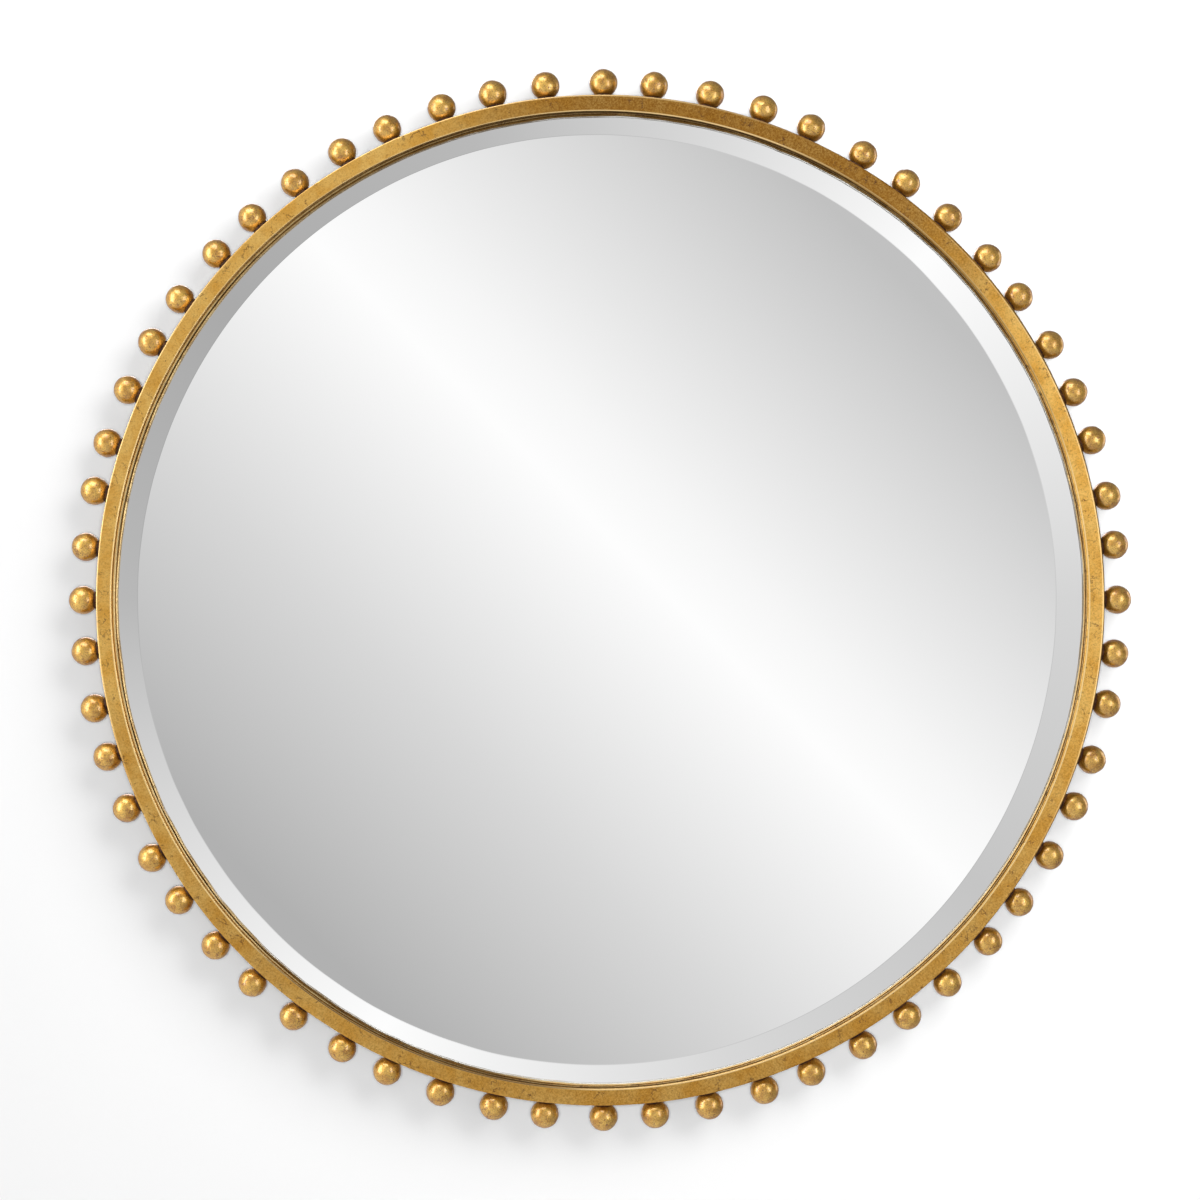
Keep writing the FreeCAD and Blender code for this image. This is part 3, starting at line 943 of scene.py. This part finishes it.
@dataclass
class Hoop:
    """The hammered front band and the rolled angle behind it, whose flange shows as a lip inside the band.

    `lip_profile` is (outwards, back) from the lip's inner edge at the band's rear face. A ripple is the size
    of its clouds and their height. `rim_skin` is how deep below the rim's face the points move with it.
    """

    band_inner: float = 466.0
    rim: float = RIM
    band_thickness: float = 4.0
    band_edge: float = 0.8
    band_strips: int = 6
    band_crease: float = 50.0
    hammer_ripple: Pair = (11.0, 0.3)
    band_ripple: Pair = (30.0, 0.35)
    lip_inner: float = 461.0
    lip_width: float = 2.2
    lip_profile: Outline = (
        (0.0, 1.3),
        (0.35, 0.5),
        (1.0, 0.2),
        (1.6, 0.5),
        (2.0, 1.3),
        (2.4, 0.5),
        (3.0, 0.15),
        (4.0, 0.15),
        (4.5, 0.5),
        (4.8, 1.5),
        (5.4, 1.5),
        (5.6, 0.0),
    )
    lip_ripple: Pair = (34.0, 1.28)
    flange_rear: float = 7.0
    web_inner: float = 478.0
    web_rear: float = 29.0
    rim_skin: float = 1.0
    ring_ripple: Pair = (22.0, 0.25)
    ring_crease: float = 40.0
    edge_width: float = 1.2
    edge_fade: float = 4.5
    lip_warp: Warp = Warp(0.6, -0.1, 0.5, 79.0, grow=0.32)
    inner_warp: Warp = Warp(-0.5, 0.3, 0.45, 111.0, grow=-0.6)
    outer_warp: Warp = Warp(0.35, -0.13, 0.65, 73.6)

    def band(self) -> Piece:
        """Model the band, its front face divided across so that it takes the hammer's dents.

        Returns:
            The band.
        """
        strips = self.band_strips
        width = self.rim - self.band_inner
        front = [(self.band_inner + width * step / strips, 0.0) for step in range(strips + 1)]
        rear = [(self.rim, self.band_thickness), (self.band_inner, self.band_thickness)]
        piece = turned("hammered_band", [*front, *rear, front[0]])
        for radius in (self.band_inner, self.rim):
            round_ring_edge(piece, radius, 0.0, self.band_edge)
        ripple(piece, self.hammer_ripple, "Y")
        ripple(piece, self.band_ripple)
        inner = (self.band_inner + self.edge_width) * MM
        outer = (self.rim - self.edge_width) * MM
        self.inner_warp.apply(piece, self.band_inner, lambda p: from_axis(p) < inner, self.edge_fade)
        self.outer_warp.apply(piece, self.rim, lambda p: from_axis(p) > outer, self.edge_fade)
        shade_by_angle(piece, self.band_crease)
        return piece

    def angle_ring(self) -> Piece:
        """Model the rolled angle, its lip worked into a thin strip between two fine grooves.

        Returns:
            The ring.
        """
        front = self.band_thickness
        inner = self.lip_inner
        outline = [
            (inner, self.flange_rear),
            *((inner + out, front + back) for out, back in self.lip_profile),
            (self.rim, front),
            (self.rim, self.web_rear),
            (self.web_inner, self.web_rear),
            (self.web_inner, self.flange_rear),
            (inner, self.flange_rear),
        ]
        piece = turned("lip_and_rim", outline)
        lip = (inner + self.lip_width) * MM
        for direction in "XZ":
            ripple(piece, self.lip_ripple, direction, lambda p: from_axis(p) < lip)
        self.lip_warp.apply(piece, inner, lambda p: from_axis(p) < lip, self.edge_fade)
        outer = (self.rim - self.rim_skin) * MM
        self.outer_warp.apply(piece, self.rim, lambda p: from_axis(p) > outer, self.rim_skin)
        ripple(piece, self.ring_ripple)
        shade_by_angle(piece, self.ring_crease)
        return piece

    def band_leaf(self) -> GoldLeaf:
        """Choose the band's leaf: painted shade at the upper right and the right, glazed brown low on the
        left, darker along the foot, painted highlights and painted shade on stretches of its edges, and its
        inner edge worn bright all round with a painted highlight.

        Returns:
            The finish.
        """
        inner_edge = self.band_inner + 0.3
        outer_edge = self.rim - 0.2
        # Radii of the painted shade line and the painted highlight lines near the rim
        outer_shade_line = self.rim - 0.5
        highlight_line = self.rim - 1.7
        return GoldLeaf(
            "gold_leaf_band",
            stripes=(
                # Worn bright by rubbing and a painted highlight, all round the inner edge
                Stripe(inner_edge, 1.1, 0.95),
                # Painted shade on the inner edge at the lower left
                Stripe(inner_edge, 1.1, 0.95, "472410", HoopStretch(247.0, 20.0)),
                # Painted shade on the inner edge at the upper right
                Stripe(self.band_inner, 1.4, 0.8, "8A6428", HoopStretch(42.0, 26.0)),
                # Painted highlights on the outer edge at the top, the left and the right
                Stripe(outer_edge, 1.3, 0.6, stretch=HoopStretch(105.0, 42.0)),
                Stripe(highlight_line, 0.9, 0.7, stretch=HoopStretch(168.0, 40.0)),
                Stripe(highlight_line, 1.0, 0.6, stretch=HoopStretch(8.0, 45.0)),
                # Painted shade on the outer edge at the right
                Stripe(outer_shade_line, 1.3, 1.0, "3A200A", HoopStretch(8.0, 50.0)),
            ),
            glazed_and_shaded_stretches=(
                # Painted shade at the upper right and the right; a glazed brown at the lower left, and a
                # darker foot
                HoopStretch(73.0, 40.0, 0.74),
                HoopStretch(212.0, 18.0, 0.22),
                HoopStretch(280.0, 75.0, 0.4),
                HoopStretch(345.0, 30.0, 0.15),
            ),
        )

    def ring_leaf(self) -> GoldLeaf:
        """Choose the ring's leaf: duller and browner, with painted shade on stretches and in its grooves, and
        a painted highlight and painted shade on its lip.

        Returns:
            The finish.
        """
        lip_edge = self.lip_inner + 1.0
        lip_groove = self.lip_inner + 1.8
        groove = self.band_inner - 1.0
        groove_glint = self.band_inner - 1.6
        return GoldLeaf(
            "dull_brown_leaf_ring",
            light="DEC28A",
            mid="BD9B65",
            glaze="523A16",
            # Painted shade at the top, the right and the lower left
            glazed_and_shaded_stretches=(HoopStretch(78.0, 60.0, 0.6), HoopStretch(345.0, 45.0, 0.42), HoopStretch(246.0, 14.0, 0.25)),
            stripes=(
                # A painted highlight on the lip at the lower right, and painted shade on it at the top and
                # the lower left
                Stripe(lip_edge, 1.4, 0.9, stretch=HoopStretch(308.0, 72.0)),
                Stripe(lip_edge, 1.5, 0.8, "66491E", HoopStretch(85.0, 75.0)),
                Stripe(lip_edge, 1.5, 0.8, "5A3C16", HoopStretch(243.0, 15.0)),
                # Painted shade in the groove by the band: faint all round, deeper at the top and the lower
                # left
                Stripe(groove, 1.1, 0.25, "3A2008"),
                Stripe(groove, 1.1, 0.75, "3A2008", HoopStretch(80.0, 55.0)),
                Stripe(groove, 1.1, 0.75, "3A2008", HoopStretch(262.0, 35.0)),
                # A painted highlight in that groove on the left
                Stripe(groove_glint, 2.6, 0.95, "EBCF96", HoopStretch(190.0, 52.0)),
                # Painted shade in the lip's own groove on the left
                Stripe(lip_groove, 0.9, 0.9, "3A2810", HoopStretch(155.0, 20.0)),
                Stripe(lip_groove, 0.9, 1.0, "3A2810", HoopStretch(208.0, 24.0)),
            ),
        )

    def build(self) -> None:
        """Build and dress the band and the ring."""
        seat(self.band(), self.band_leaf().material(), Slot.BAND, "front_band")
        ring = self.ring_leaf().material()
        seat(self.angle_ring(), ring, Slot.RING, "angle_ring")
        dress(ring, "clip_lugs", "hanger_lugs")


@dataclass
class BeadRow:
    """The sixty balls round the rim and the welds that hold them, spaced a little unevenly, as by eye.

    `collar` is (outwards from the rim, radius) along a weld. A ripple is the size of its clouds and their
    height. `rim_shade` is how far from the rim painted shade darkens the balls, fully and at all.
    """

    count: int = 60
    diameter: float = 27.0
    pitch_radius: float = 494.5
    depth: float = 14.5
    rim: float = RIM
    drift_once: float = 0.15
    drift_once_phase: float = 72.0
    drift_twice: float = 0.3
    drift_twice_phase: float = 92.0
    drift_single: float = 0.25
    drift_single_step: float = 137.5
    ball_cuts: int = 5
    ball_ripples: tuple[Pair, ...] = ((9.0, 0.55), (2.6, 0.12))
    collar: Outline = ((-2.0, 9.6), (0.2, 9.3), (1.0, 8.6), (2.0, 8.2), (3.2, 8.0), (4.2, 7.6))
    collar_sides: int = 28
    collar_ripple: Pair = (3.5, 0.9)
    collar_crease: float = 60.0
    # How far from the rim painted shade darkens the balls, where they meet the band
    rim_shade: Pair = (-2.0, 4.0)

    def angle(self, index: int) -> float:
        """Find one ball's place round the rim, as the part's source does.

        Args:
            index: The ball's number, from 0 at the right.

        Returns:
            The angle in degrees.
        """
        even = index * FULL_TURN / self.count
        once = self.drift_once * math.cos(math.radians(even + self.drift_once_phase))
        twice = self.drift_twice * math.cos(math.radians(2 * even + self.drift_twice_phase))
        single = self.drift_single * math.sin(math.radians(index * self.drift_single_step))
        return even + once + twice + single

    def side(self, index: int) -> Side:
        """The run that a ball belongs to."""
        return list(Side)[round(index * len(Side) / self.count) % len(Side)]

    def ball(self) -> Piece:
        """Model one cast ball round the origin, slightly uneven.

        Returns:
            The ball.
        """
        bpy.ops.object.select_all(action="DESELECT")
        bpy.ops.mesh.primitive_ico_sphere_add(subdivisions=self.ball_cuts, radius=self.diameter / 2 * MM)
        ball = bpy.context.object
        for clouds in self.ball_ripples:
            ripple(ball, clouds)
        choose_object(ball)
        bpy.ops.object.shade_smooth()
        return ball

    def weld(self) -> Piece:
        """Model one lumpy weld collar along +X, its place as on a ball at angle 0.

        Returns:
            The collar, its origin on the mirror's axis.
        """
        start, radius = self.collar[0]
        bpy.ops.object.select_all(action="DESELECT")
        bpy.ops.mesh.primitive_circle_add(
            vertices=self.collar_sides,
            radius=radius * MM,
            fill_type="NGON",
            location=at_depth(self.rim + start, self.depth),
            rotation=(0, math.pi / 2, 0),
        )
        collar = bpy.context.object
        settle(collar)
        with editing(collar):
            for (last, width), (here, narrow) in zip(self.collar, self.collar[1:]):
                bpy.ops.mesh.extrude_region_move(TRANSFORM_OT_translate={"value": ((here - last) * MM, 0, 0)})
                ratio = narrow / width
                bpy.ops.transform.resize(value=(1, ratio, ratio))
            bpy.ops.mesh.select_all(action="SELECT")
            bpy.ops.mesh.normals_make_consistent(inside=False)
        ripple(collar, self.collar_ripple)
        shade_by_angle(collar, self.collar_crease)
        return collar

    def leaf(self) -> GoldLeaf:
        """Choose the balls' leaf: redder, lacquered to a gloss, and darkened with painted shade towards the
        rim.

        Returns:
            The finish.
        """
        return GoldLeaf(
            "gold_leaf_balls",
            light="ECBE54",
            mid="C7902E",
            glaze="704610",
            bole="7A471E",
            lacquer=1.0,
            lacquer_roughness=0.22,
            lacquer_ior=1.68,
            edge_tint="F2B45A",
            cloud_mm=8.0,
            grain_mm=1.3,
            grain_share=0.75,
            roughness=0.4,
            pinhole_share=0.37,
            # Painted shade on the balls towards the rim, where they meet the band
            rim_shade_radii=tuple(self.rim + reach for reach in self.rim_shade),
            bump=0.6,
        )

    def build(self) -> None:
        """Build and dress the balls and their welds."""
        ball = self.ball()
        weld = self.weld()
        runs: dict[Side, list[Piece]] = {side: [] for side in Side}
        welds = []
        for index in range(self.count):
            angle = self.angle(index)
            # Each ball is turned its own way, so that no two show the same dents
            turn = (index * GOLDEN_TURN, index * GOLDEN_TURN * 2, index * GOLDEN_TURN * 3)
            runs[self.side(index)].append(twin(ball, at_depth(self.pitch_radius, self.depth, angle), turn))
            welds.append(twin(weld, Vector((0, 0, 0)), (0, -math.radians(angle), 0)))
        material = self.leaf().material()
        for side, balls in runs.items():
            seat(joined("balls_" + side.value, balls), material, Slot.BEADS, "beads_" + side.value)
        seat(joined("weld_collars", welds), BurntWeld().material(), Slot.WELD, "bead_welds")
        for model in (ball, weld):
            bpy.data.objects.remove(model)


@dataclass
class Glass:
    """The round mirror glass with its hand-ground bevel.

    `oval` is half of what the bevel's inner edge measures across and up. The arris is the narrow polished
    strip on that edge.
    """

    radius: float = 466.997
    bevel_inner: float = 441.597
    front: float = 6.0
    bevel_edge: float = 8.5
    rear: float = 11.0
    centre: Pair = (-3.2, 1.0)
    arris: float = 0.7
    arris_ripple: Pair = (48.0, 0.64)
    oval: Pair = (438.4, 443.9)
    oval_shift: Pair = (0.2, -0.8)
    crease: float = 1.4

    def glass(self) -> Piece:
        """Model the glass, with its arris between the flat and the bevel.

        Returns:
            The glass.
        """
        slope = (self.bevel_edge - self.front) / (self.radius - self.bevel_inner)
        outline = [
            (0.0, self.front),
            (self.bevel_inner - self.arris / 2, self.front),
            (self.bevel_inner + self.arris / 2, self.front + slope * self.arris / 2),
            (self.radius, self.bevel_edge),
            (self.radius, self.rear),
            (0.0, self.rear),
        ]
        piece = turned("bevelled_glass", outline)
        inner = (self.bevel_inner - self.arris) * MM
        outer = (self.bevel_inner + self.arris) * MM
        for direction in "XZ":
            ripple(piece, self.arris_ripple, direction, lambda p: inner < from_axis(p) < outer)
        across, up = self.oval
        shift_across, shift_up = self.oval_shift
        centre_across, centre_up = self.centre
        with editing(piece):
            choose_points(piece, lambda p: inner - self.arris * MM < from_axis(p) < outer + self.arris * MM)
            size = (across / self.bevel_inner, 1, up / self.bevel_inner)
            bpy.ops.transform.resize(value=size, center_override=(0, 0, 0))
            bpy.ops.transform.translate(value=(shift_across * MM, 0, shift_up * MM))
            bpy.ops.mesh.select_all(action="SELECT")
            bpy.ops.transform.translate(value=(centre_across * MM, 0, centre_up * MM))
        shade_by_angle(piece, self.crease)
        return piece

    def build(self) -> None:
        """Build and dress the glass and the layers behind it."""
        seat(self.glass(), SilveredGlass().material(), Slot.GLASS, "mirror_glass")
        dress(Coating("mirror_backing_paint", "4A4E51", "5C6063").material(), "silver_coating")
        dress(Coating("foam_tape", "C9C6BC", "E4E2DA", cloud_mm=0.8).material(), "foam_strips")
        dress(Coating("glazing_foam", "D8D6CF", "F0EFEA", cloud_mm=0.8).material(), "glazing_tape")
        dress(Rubber("setting_rubber").material(), "setting_blocks")


@dataclass
class Back:
    """The backing board with its clips, hangers and bumpers."""

    clip_count: int = 8
    bumper_count: int = 4
    hanger_sides: tuple[str, ...] = ("left", "right")

    def build(self) -> None:
        """Dress the board and the hardware on it."""
        dress(Fibreboard().material(), "backing_board")
        sheet = ZincPlate("zinc_sheet").material()
        dress(sheet, *(f"retaining_clip_{number + 1}" for number in range(self.clip_count)))
        dress(sheet, *("hanger_strap_" + side for side in self.hanger_sides))
        dull = ZincPlate("dull_zinc_plate", light="B4B8BC", dark="989CA1", roughness=0.44).material()
        dress(dull, *("hanger_plate_" + side for side in self.hanger_sides))
        screws = ZincPlate("zinc_screws", light="E2E3E4", dark="C6C8CA", roughness=0.24).material()
        dress(screws, "clip_screws", "hanger_plate_screws", "bumper_screws", "strap_rivets")
        wire = ZincPlate("zinc_wire", light="E4E5E6", dark="CACCCE", roughness=0.2).material()
        dress(wire, *("d_ring_" + side for side in self.hanger_sides))
        rubber = Rubber("bumper_rubber").material()
        dress(rubber, *(f"wall_bumper_{number + 1}" for number in range(self.bumper_count)))


@dataclass(frozen=True)
class Lamp:
    """A soft lamp that faces the mirror: its size and place in metres, its power in watts.

    `hidden` is the kind of ray, besides the camera's, that doesn't see it, and `roll` is its turn about its
    own beam in degrees.
    """

    name: str
    size: Pair
    place: Triple
    power: float
    hidden: str
    roll: float = 0.0

    def add(self) -> None:
        """Add the lamp to the scene."""
        bpy.ops.object.select_all(action="DESELECT")
        bpy.ops.object.light_add(type="AREA", location=self.place)
        lamp = bpy.context.object
        lamp.name = self.name
        aim = (-Vector(self.place)).to_track_quat("-Z", "Y") @ Quaternion((0, 0, 1), math.radians(self.roll))
        lamp.rotation_euler = aim.to_euler()
        lamp.data.shape = "RECTANGLE"
        lamp.data.size, lamp.data.size_y = self.size
        lamp.data.energy = self.power
        hide(lamp, "camera", self.hidden)


@dataclass
class Studio:
    """The white wall, the pale floor, the light and the camera of the product picture, in metres.

    A field that ends in `fade` gives the radii where something starts to fade and is gone. The glass reflects
    the card: its flat sees the tones that run `across` the card's diagonal, up to `across_half` to each side,
    and its bevel those that run `around` it by the degree, beyond `bevel_sees`. The arris sees a faint grey
    ring between them, so far to each side of `arris_radius` as `arris_fade` says. `rear_sky` is the strength
    of the sky that metal reflects from the wall's side, over `rear_reach` of its directions.
    """

    wall_size: float = 2.2
    wall_gap: float = 0.0004
    wall_fade: Pair = (0.84, 1.06)
    wall_colour: str = "F4F4F4"
    floor_size: float = 30.0
    floor_level: float = -1.5
    floor_colour: str = "F2F2F1"
    floor_glow: float = 0.8
    floor_fade: Pair = (2.5, 9.0)
    card_size: float = 5.6
    card_distance: float = 4.3
    card_glow: float = 1.06
    card_fade: Pair = (2.25, 2.8)
    across_half: float = 1.5
    across: Tones = (
        (-1.02, "B2B2B2"),
        (-0.46, "D9D9D9"),
        (-0.09, "F2F2F2"),
        (0.12, "FFFFFF"),
        (0.28, "F8F8F8"),
        (0.65, "DFDFDF"),
        (1.02, "C2C2C2"),
    )
    bevel_sees: Pair = (1.3, 1.38)
    around: Tones = (
        (-180.0, "B9B9B9"),
        (-117.0, "FFFFFF"),
        (-75.0, "D9D9D9"),
        (-37.0, "C6C6C6"),
        (0.0, "D6D6D6"),
        (46.0, "FFFFFF"),
        (75.0, "DCDCDC"),
        (105.0, "BABABA"),
        (142.0, "ABABAB"),
        (180.0, "B9B9B9"),
    )
    arris_radius: float = 1.5
    arris_fade: Pair = (0.1, 0.2)
    arris_colour: str = "7A7A7A"
    arris_share: float = 0.2
    soft_light: float = 0.09
    sky: Tones = ((0.12, "9C9C9C"), (0.5, "D0D0D0"), (0.8, "F6F6F6"))
    sky_rise: Triple = (-0.87, 0.0, -0.5)
    rear_sky: float = 0.72
    rear_reach: Pair = (0.2, 0.75)
    camera_distance: float = 3.03
    lens: float = 94.5
    lamps: tuple[Lamp, ...] = (
        Lamp("key_upper_right", (5.0, 2.8), (3.2, -2.72, 3.56), 352.0, "glossy", roll=-61.0),
        Lamp("front_fill", (1.0, 1.0), (0, -4.0, 0), 100.0, "glossy"),
        Lamp("left_box", (1.2, 2.8), (-2.85, -1.45, 0.5), 47.0, "diffuse"),
        Lamp("right_box", (1.0, 2.0), (2.0, -2.4, 0.2), 23.0, "diffuse"),
        Lamp("top_box", (2.2, 1.2), (-0.9, -1.45, 2.5), 35.0, "diffuse"),
        Lamp("rear_fill", (1.5, 1.5), (-1.7, 2.7, 2.6), 190.0, "glossy"),
        Lamp("rear_top_box", (1.5, 0.9), (-0.8, 3.3, 1.5), 16.0, "diffuse"),
        Lamp("rear_box", (0.9, 2.4), (2.9, 1.5, 0.3), 14.0, "diffuse"),
    )

    def plane(self, name: str, size: float, place: Triple, tilt: float, hidden: Sequence[str]) -> Piece:
        """Add a flat stage piece.

        Args:
            name: Its name.
            size: Its width and height.
            place: Its middle.
            tilt: Its turn about X in radians.
            hidden: The kinds of ray that don't see it.

        Returns:
            The stage piece.
        """
        bpy.ops.object.select_all(action="DESELECT")
        bpy.ops.mesh.primitive_plane_add(size=size, location=place, rotation=(tilt, 0, 0))
        piece = bpy.context.object
        piece.name = name
        settle(piece)
        hide(piece, *hidden)
        return piece

    def faded(self, tree: Tree, place: Socket, fade: Pair) -> Socket:
        """Find how far something has faded towards the edge of a stage piece.

        Args:
            tree: The material's tree.
            place: A point's place.
            fade: The radii where it starts to fade and is gone.

        Returns:
            The share that is gone.
        """
        low, high = fade
        radius = add_node(tree, "VectorMath", {"operation": "LENGTH", 0: place}, "Value")
        settings = {"interpolation_type": "SMOOTHSTEP", 0: radius, 1: low, 2: high, 3: 0.0, 4: 1.0}
        return add_node(tree, "MapRange", settings)

    def wall(self) -> None:
        """Build the white wall, which fades out and which the camera alone sees, from the room's side."""
        hidden = ("diffuse", "glossy", "transmission", "shadow")
        piece = self.plane("studio_wall", self.wall_size, (0, self.wall_gap, 0), math.pi / 2, hidden)
        material, tree, shader, place = new_material("white_wall")
        tree.nodes.remove(shader)
        paint = add_node(tree, "BsdfDiffuse", {"Color": linear(self.wall_colour)})
        clear = add_node(tree, "BsdfTransparent")
        back = add_node(tree, "NewGeometry", output="Backfacing")
        settings = {"operation": "MAXIMUM", 0: back, 1: self.faded(tree, place, self.wall_fade)}
        share = add_node(tree, "Math", settings)
        surface = add_node(tree, "MixShader", {0: share, 1: paint, 2: clear})
        feed(tree.nodes["Material Output"], {"Surface": surface})
        piece.data.materials.append(material)

    def floor(self) -> None:
        """Build the plain pale floor, which glows a little and fades into the white round it."""
        hidden = ("glossy", "diffuse")
        piece = self.plane("studio_floor", self.floor_size, (0, 0, self.floor_level), 0, hidden)
        material, tree, shader, place = new_material("pale_floor")
        material.cycles.emission_sampling = "NONE"
        gone = self.faded(tree, place, self.floor_fade)
        looks = {
            "Base Color": linear(self.floor_colour),
            "Emission Color": linear(self.floor_colour),
            "Emission Strength": self.floor_glow,
            "Roughness": 0.9,
            "Alpha": add_node(tree, "Math", {"operation": "SUBTRACT", 0: 1.0, 1: gone}),
        }
        feed(shader, looks)
        piece.data.materials.append(material)

    def card(self) -> None:
        """Build the graded white card behind the camera that the glass reflects."""
        hidden = ("camera", "diffuse", "transmission", "shadow")
        spot = (0, -self.card_distance, 0)
        piece = self.plane("reflection_card", self.card_size, spot, -math.pi / 2, hidden)
        material, tree, shader, place = new_material("graded_card")
        material.cycles.emission_sampling = "NONE"
        tree.nodes.remove(shader)
        flat = add_node(tree, "VectorMath", {"operation": "MULTIPLY", 0: place, 1: (1, 0, 1)})
        radius = add_node(tree, "VectorMath", {"operation": "LENGTH", 0: flat}, "Value")
        settings = {"operation": "DOT_PRODUCT", 0: flat, 1: (math.sqrt(0.5), 0, math.sqrt(0.5))}
        along = add_node(tree, "VectorMath", settings, "Value")
        half = self.across_half
        share = add_node(tree, "MapRange", {0: along, 1: -half, 2: half, 3: 0.0, 4: 1.0})
        stops = [((step + half) / (2 * half), tone) for step, tone in self.across]
        middle = add_node(tree, "ValToRGB", {"stops": stops, 0: share})
        parts = add_node(tree, "SeparateXYZ", {0: place}).node.outputs
        turn = add_node(tree, "Math", {"operation": "ARCTAN2", 0: parts["Z"], 1: parts["X"]})
        share = add_node(tree, "MapRange", {0: turn, 1: -math.pi, 2: math.pi, 3: 0.0, 4: 1.0})
        stops = [(angle / FULL_TURN + 0.5, tone) for angle, tone in self.around]
        outside = add_node(tree, "ValToRGB", {"stops": stops, 0: share})
        low, high = self.bevel_sees
        share = add_node(tree, "MapRange", {0: radius, 1: low, 2: high, 3: 0.0, 4: 1.0})
        settings = {"data_type": "RGBA", MIX_FACTOR: share, MIX_A: middle, MIX_B: outside}
        tone = add_node(tree, "Mix", settings, MIX_RESULT)
        away = add_node(tree, "Math", {"operation": "SUBTRACT", 0: radius, 1: self.arris_radius})
        size = add_node(tree, "Math", {"operation": "ABSOLUTE", 0: away})
        low, high = self.arris_fade
        share = add_node(tree, "MapRange", {0: size, 1: low, 2: high, 3: self.arris_share, 4: 0.0})
        settings = {"data_type": "RGBA", MIX_FACTOR: share, MIX_A: tone, MIX_B: linear(self.arris_colour)}
        tone = add_node(tree, "Mix", settings, MIX_RESULT)
        glow = add_node(tree, "Emission", {"Strength": self.card_glow, "Color": tone})
        clear = add_node(tree, "BsdfTransparent")
        gone = self.faded(tree, flat, self.card_fade)
        surface = add_node(tree, "MixShader", {0: gone, 1: glow, 2: clear})
        feed(tree.nodes["Material Output"], {"Surface": surface})
        piece.data.materials.append(material)

    def world(self) -> None:
        """Set the light all round: white behind the view, dim where metal reflects it."""
        world = bpy.data.worlds.new("studio_light")
        bpy.context.scene.world = world
        world.use_nodes = True
        world.cycles.sampling_method = "NONE"
        tree = world.node_tree
        tree.nodes.clear()
        ray = add_node(tree, "LightPath").node.outputs
        white = add_node(tree, "Background", {"Color": linear("FFFFFF"), "Strength": 1.0})
        soft = add_node(tree, "Background", {"Color": linear("FFFFFF"), "Strength": self.soft_light})
        place = add_node(tree, "TexCoord", output="Generated")
        settings = {"operation": "DOT_PRODUCT", 0: place, 1: self.sky_rise}
        rise = add_node(tree, "VectorMath", settings, "Value")
        share = add_node(tree, "MapRange", {0: rise, 1: -1.0, 2: 1.0, 3: 0.0, 4: 1.0})
        sky = add_node(tree, "ValToRGB", {"stops": self.sky, 0: share})
        depth = add_node(tree, "SeparateXYZ", {0: place}, "Y")
        low, high = self.rear_reach
        settings = {"interpolation_type": "SMOOTHSTEP", 0: depth, 1: low, 2: high, 3: 1.0, 4: self.rear_sky}
        dim = add_node(tree, "MapRange", settings)
        room = add_node(tree, "Background", {"Color": sky, "Strength": dim})
        lit = add_node(tree, "MixShader", {0: ray["Is Glossy Ray"], 1: soft, 2: room})
        seen = add_node(tree, "MixShader", {0: ray["Is Camera Ray"], 1: lit, 2: white})
        feed(tree.nodes.new("ShaderNodeOutputWorld"), {"Surface": seen})

    def camera(self) -> None:
        """Put the camera straight in front of the mirror."""
        bpy.ops.object.select_all(action="DESELECT")
        bpy.ops.object.camera_add(location=(0, -self.camera_distance, 0), rotation=(math.pi / 2, 0, 0))
        camera = bpy.context.object
        camera.name = "product_camera"
        camera.data.lens = self.lens
        bpy.context.scene.camera = camera
        bpy.context.scene.view_settings.view_transform = "Standard"

    def build(self) -> None:
        """Build the studio."""
        self.wall()
        self.floor()
        self.card()
        for lamp in self.lamps:
            lamp.add()
        self.world()
        self.camera()


@dataclass
class RoundMirror:
    """The whole mirror, in the order that it is dressed."""

    parts: tuple[Any, ...] = field(default_factory=lambda: (Hoop(), BeadRow(), Glass(), Back(), Studio()))

    def build(self) -> None:
        """Build each sub-assembly in turn."""
        for part in self.parts:
            part.build()
            log.info("%s is in place", type(part).__name__)


def main() -> None:
    """Dress the mirror."""
    logging.basicConfig(level=logging.INFO, format="%(name)s: %(message)s")
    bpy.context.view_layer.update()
    RoundMirror().build()


if __name__ == "__main__":
    main()
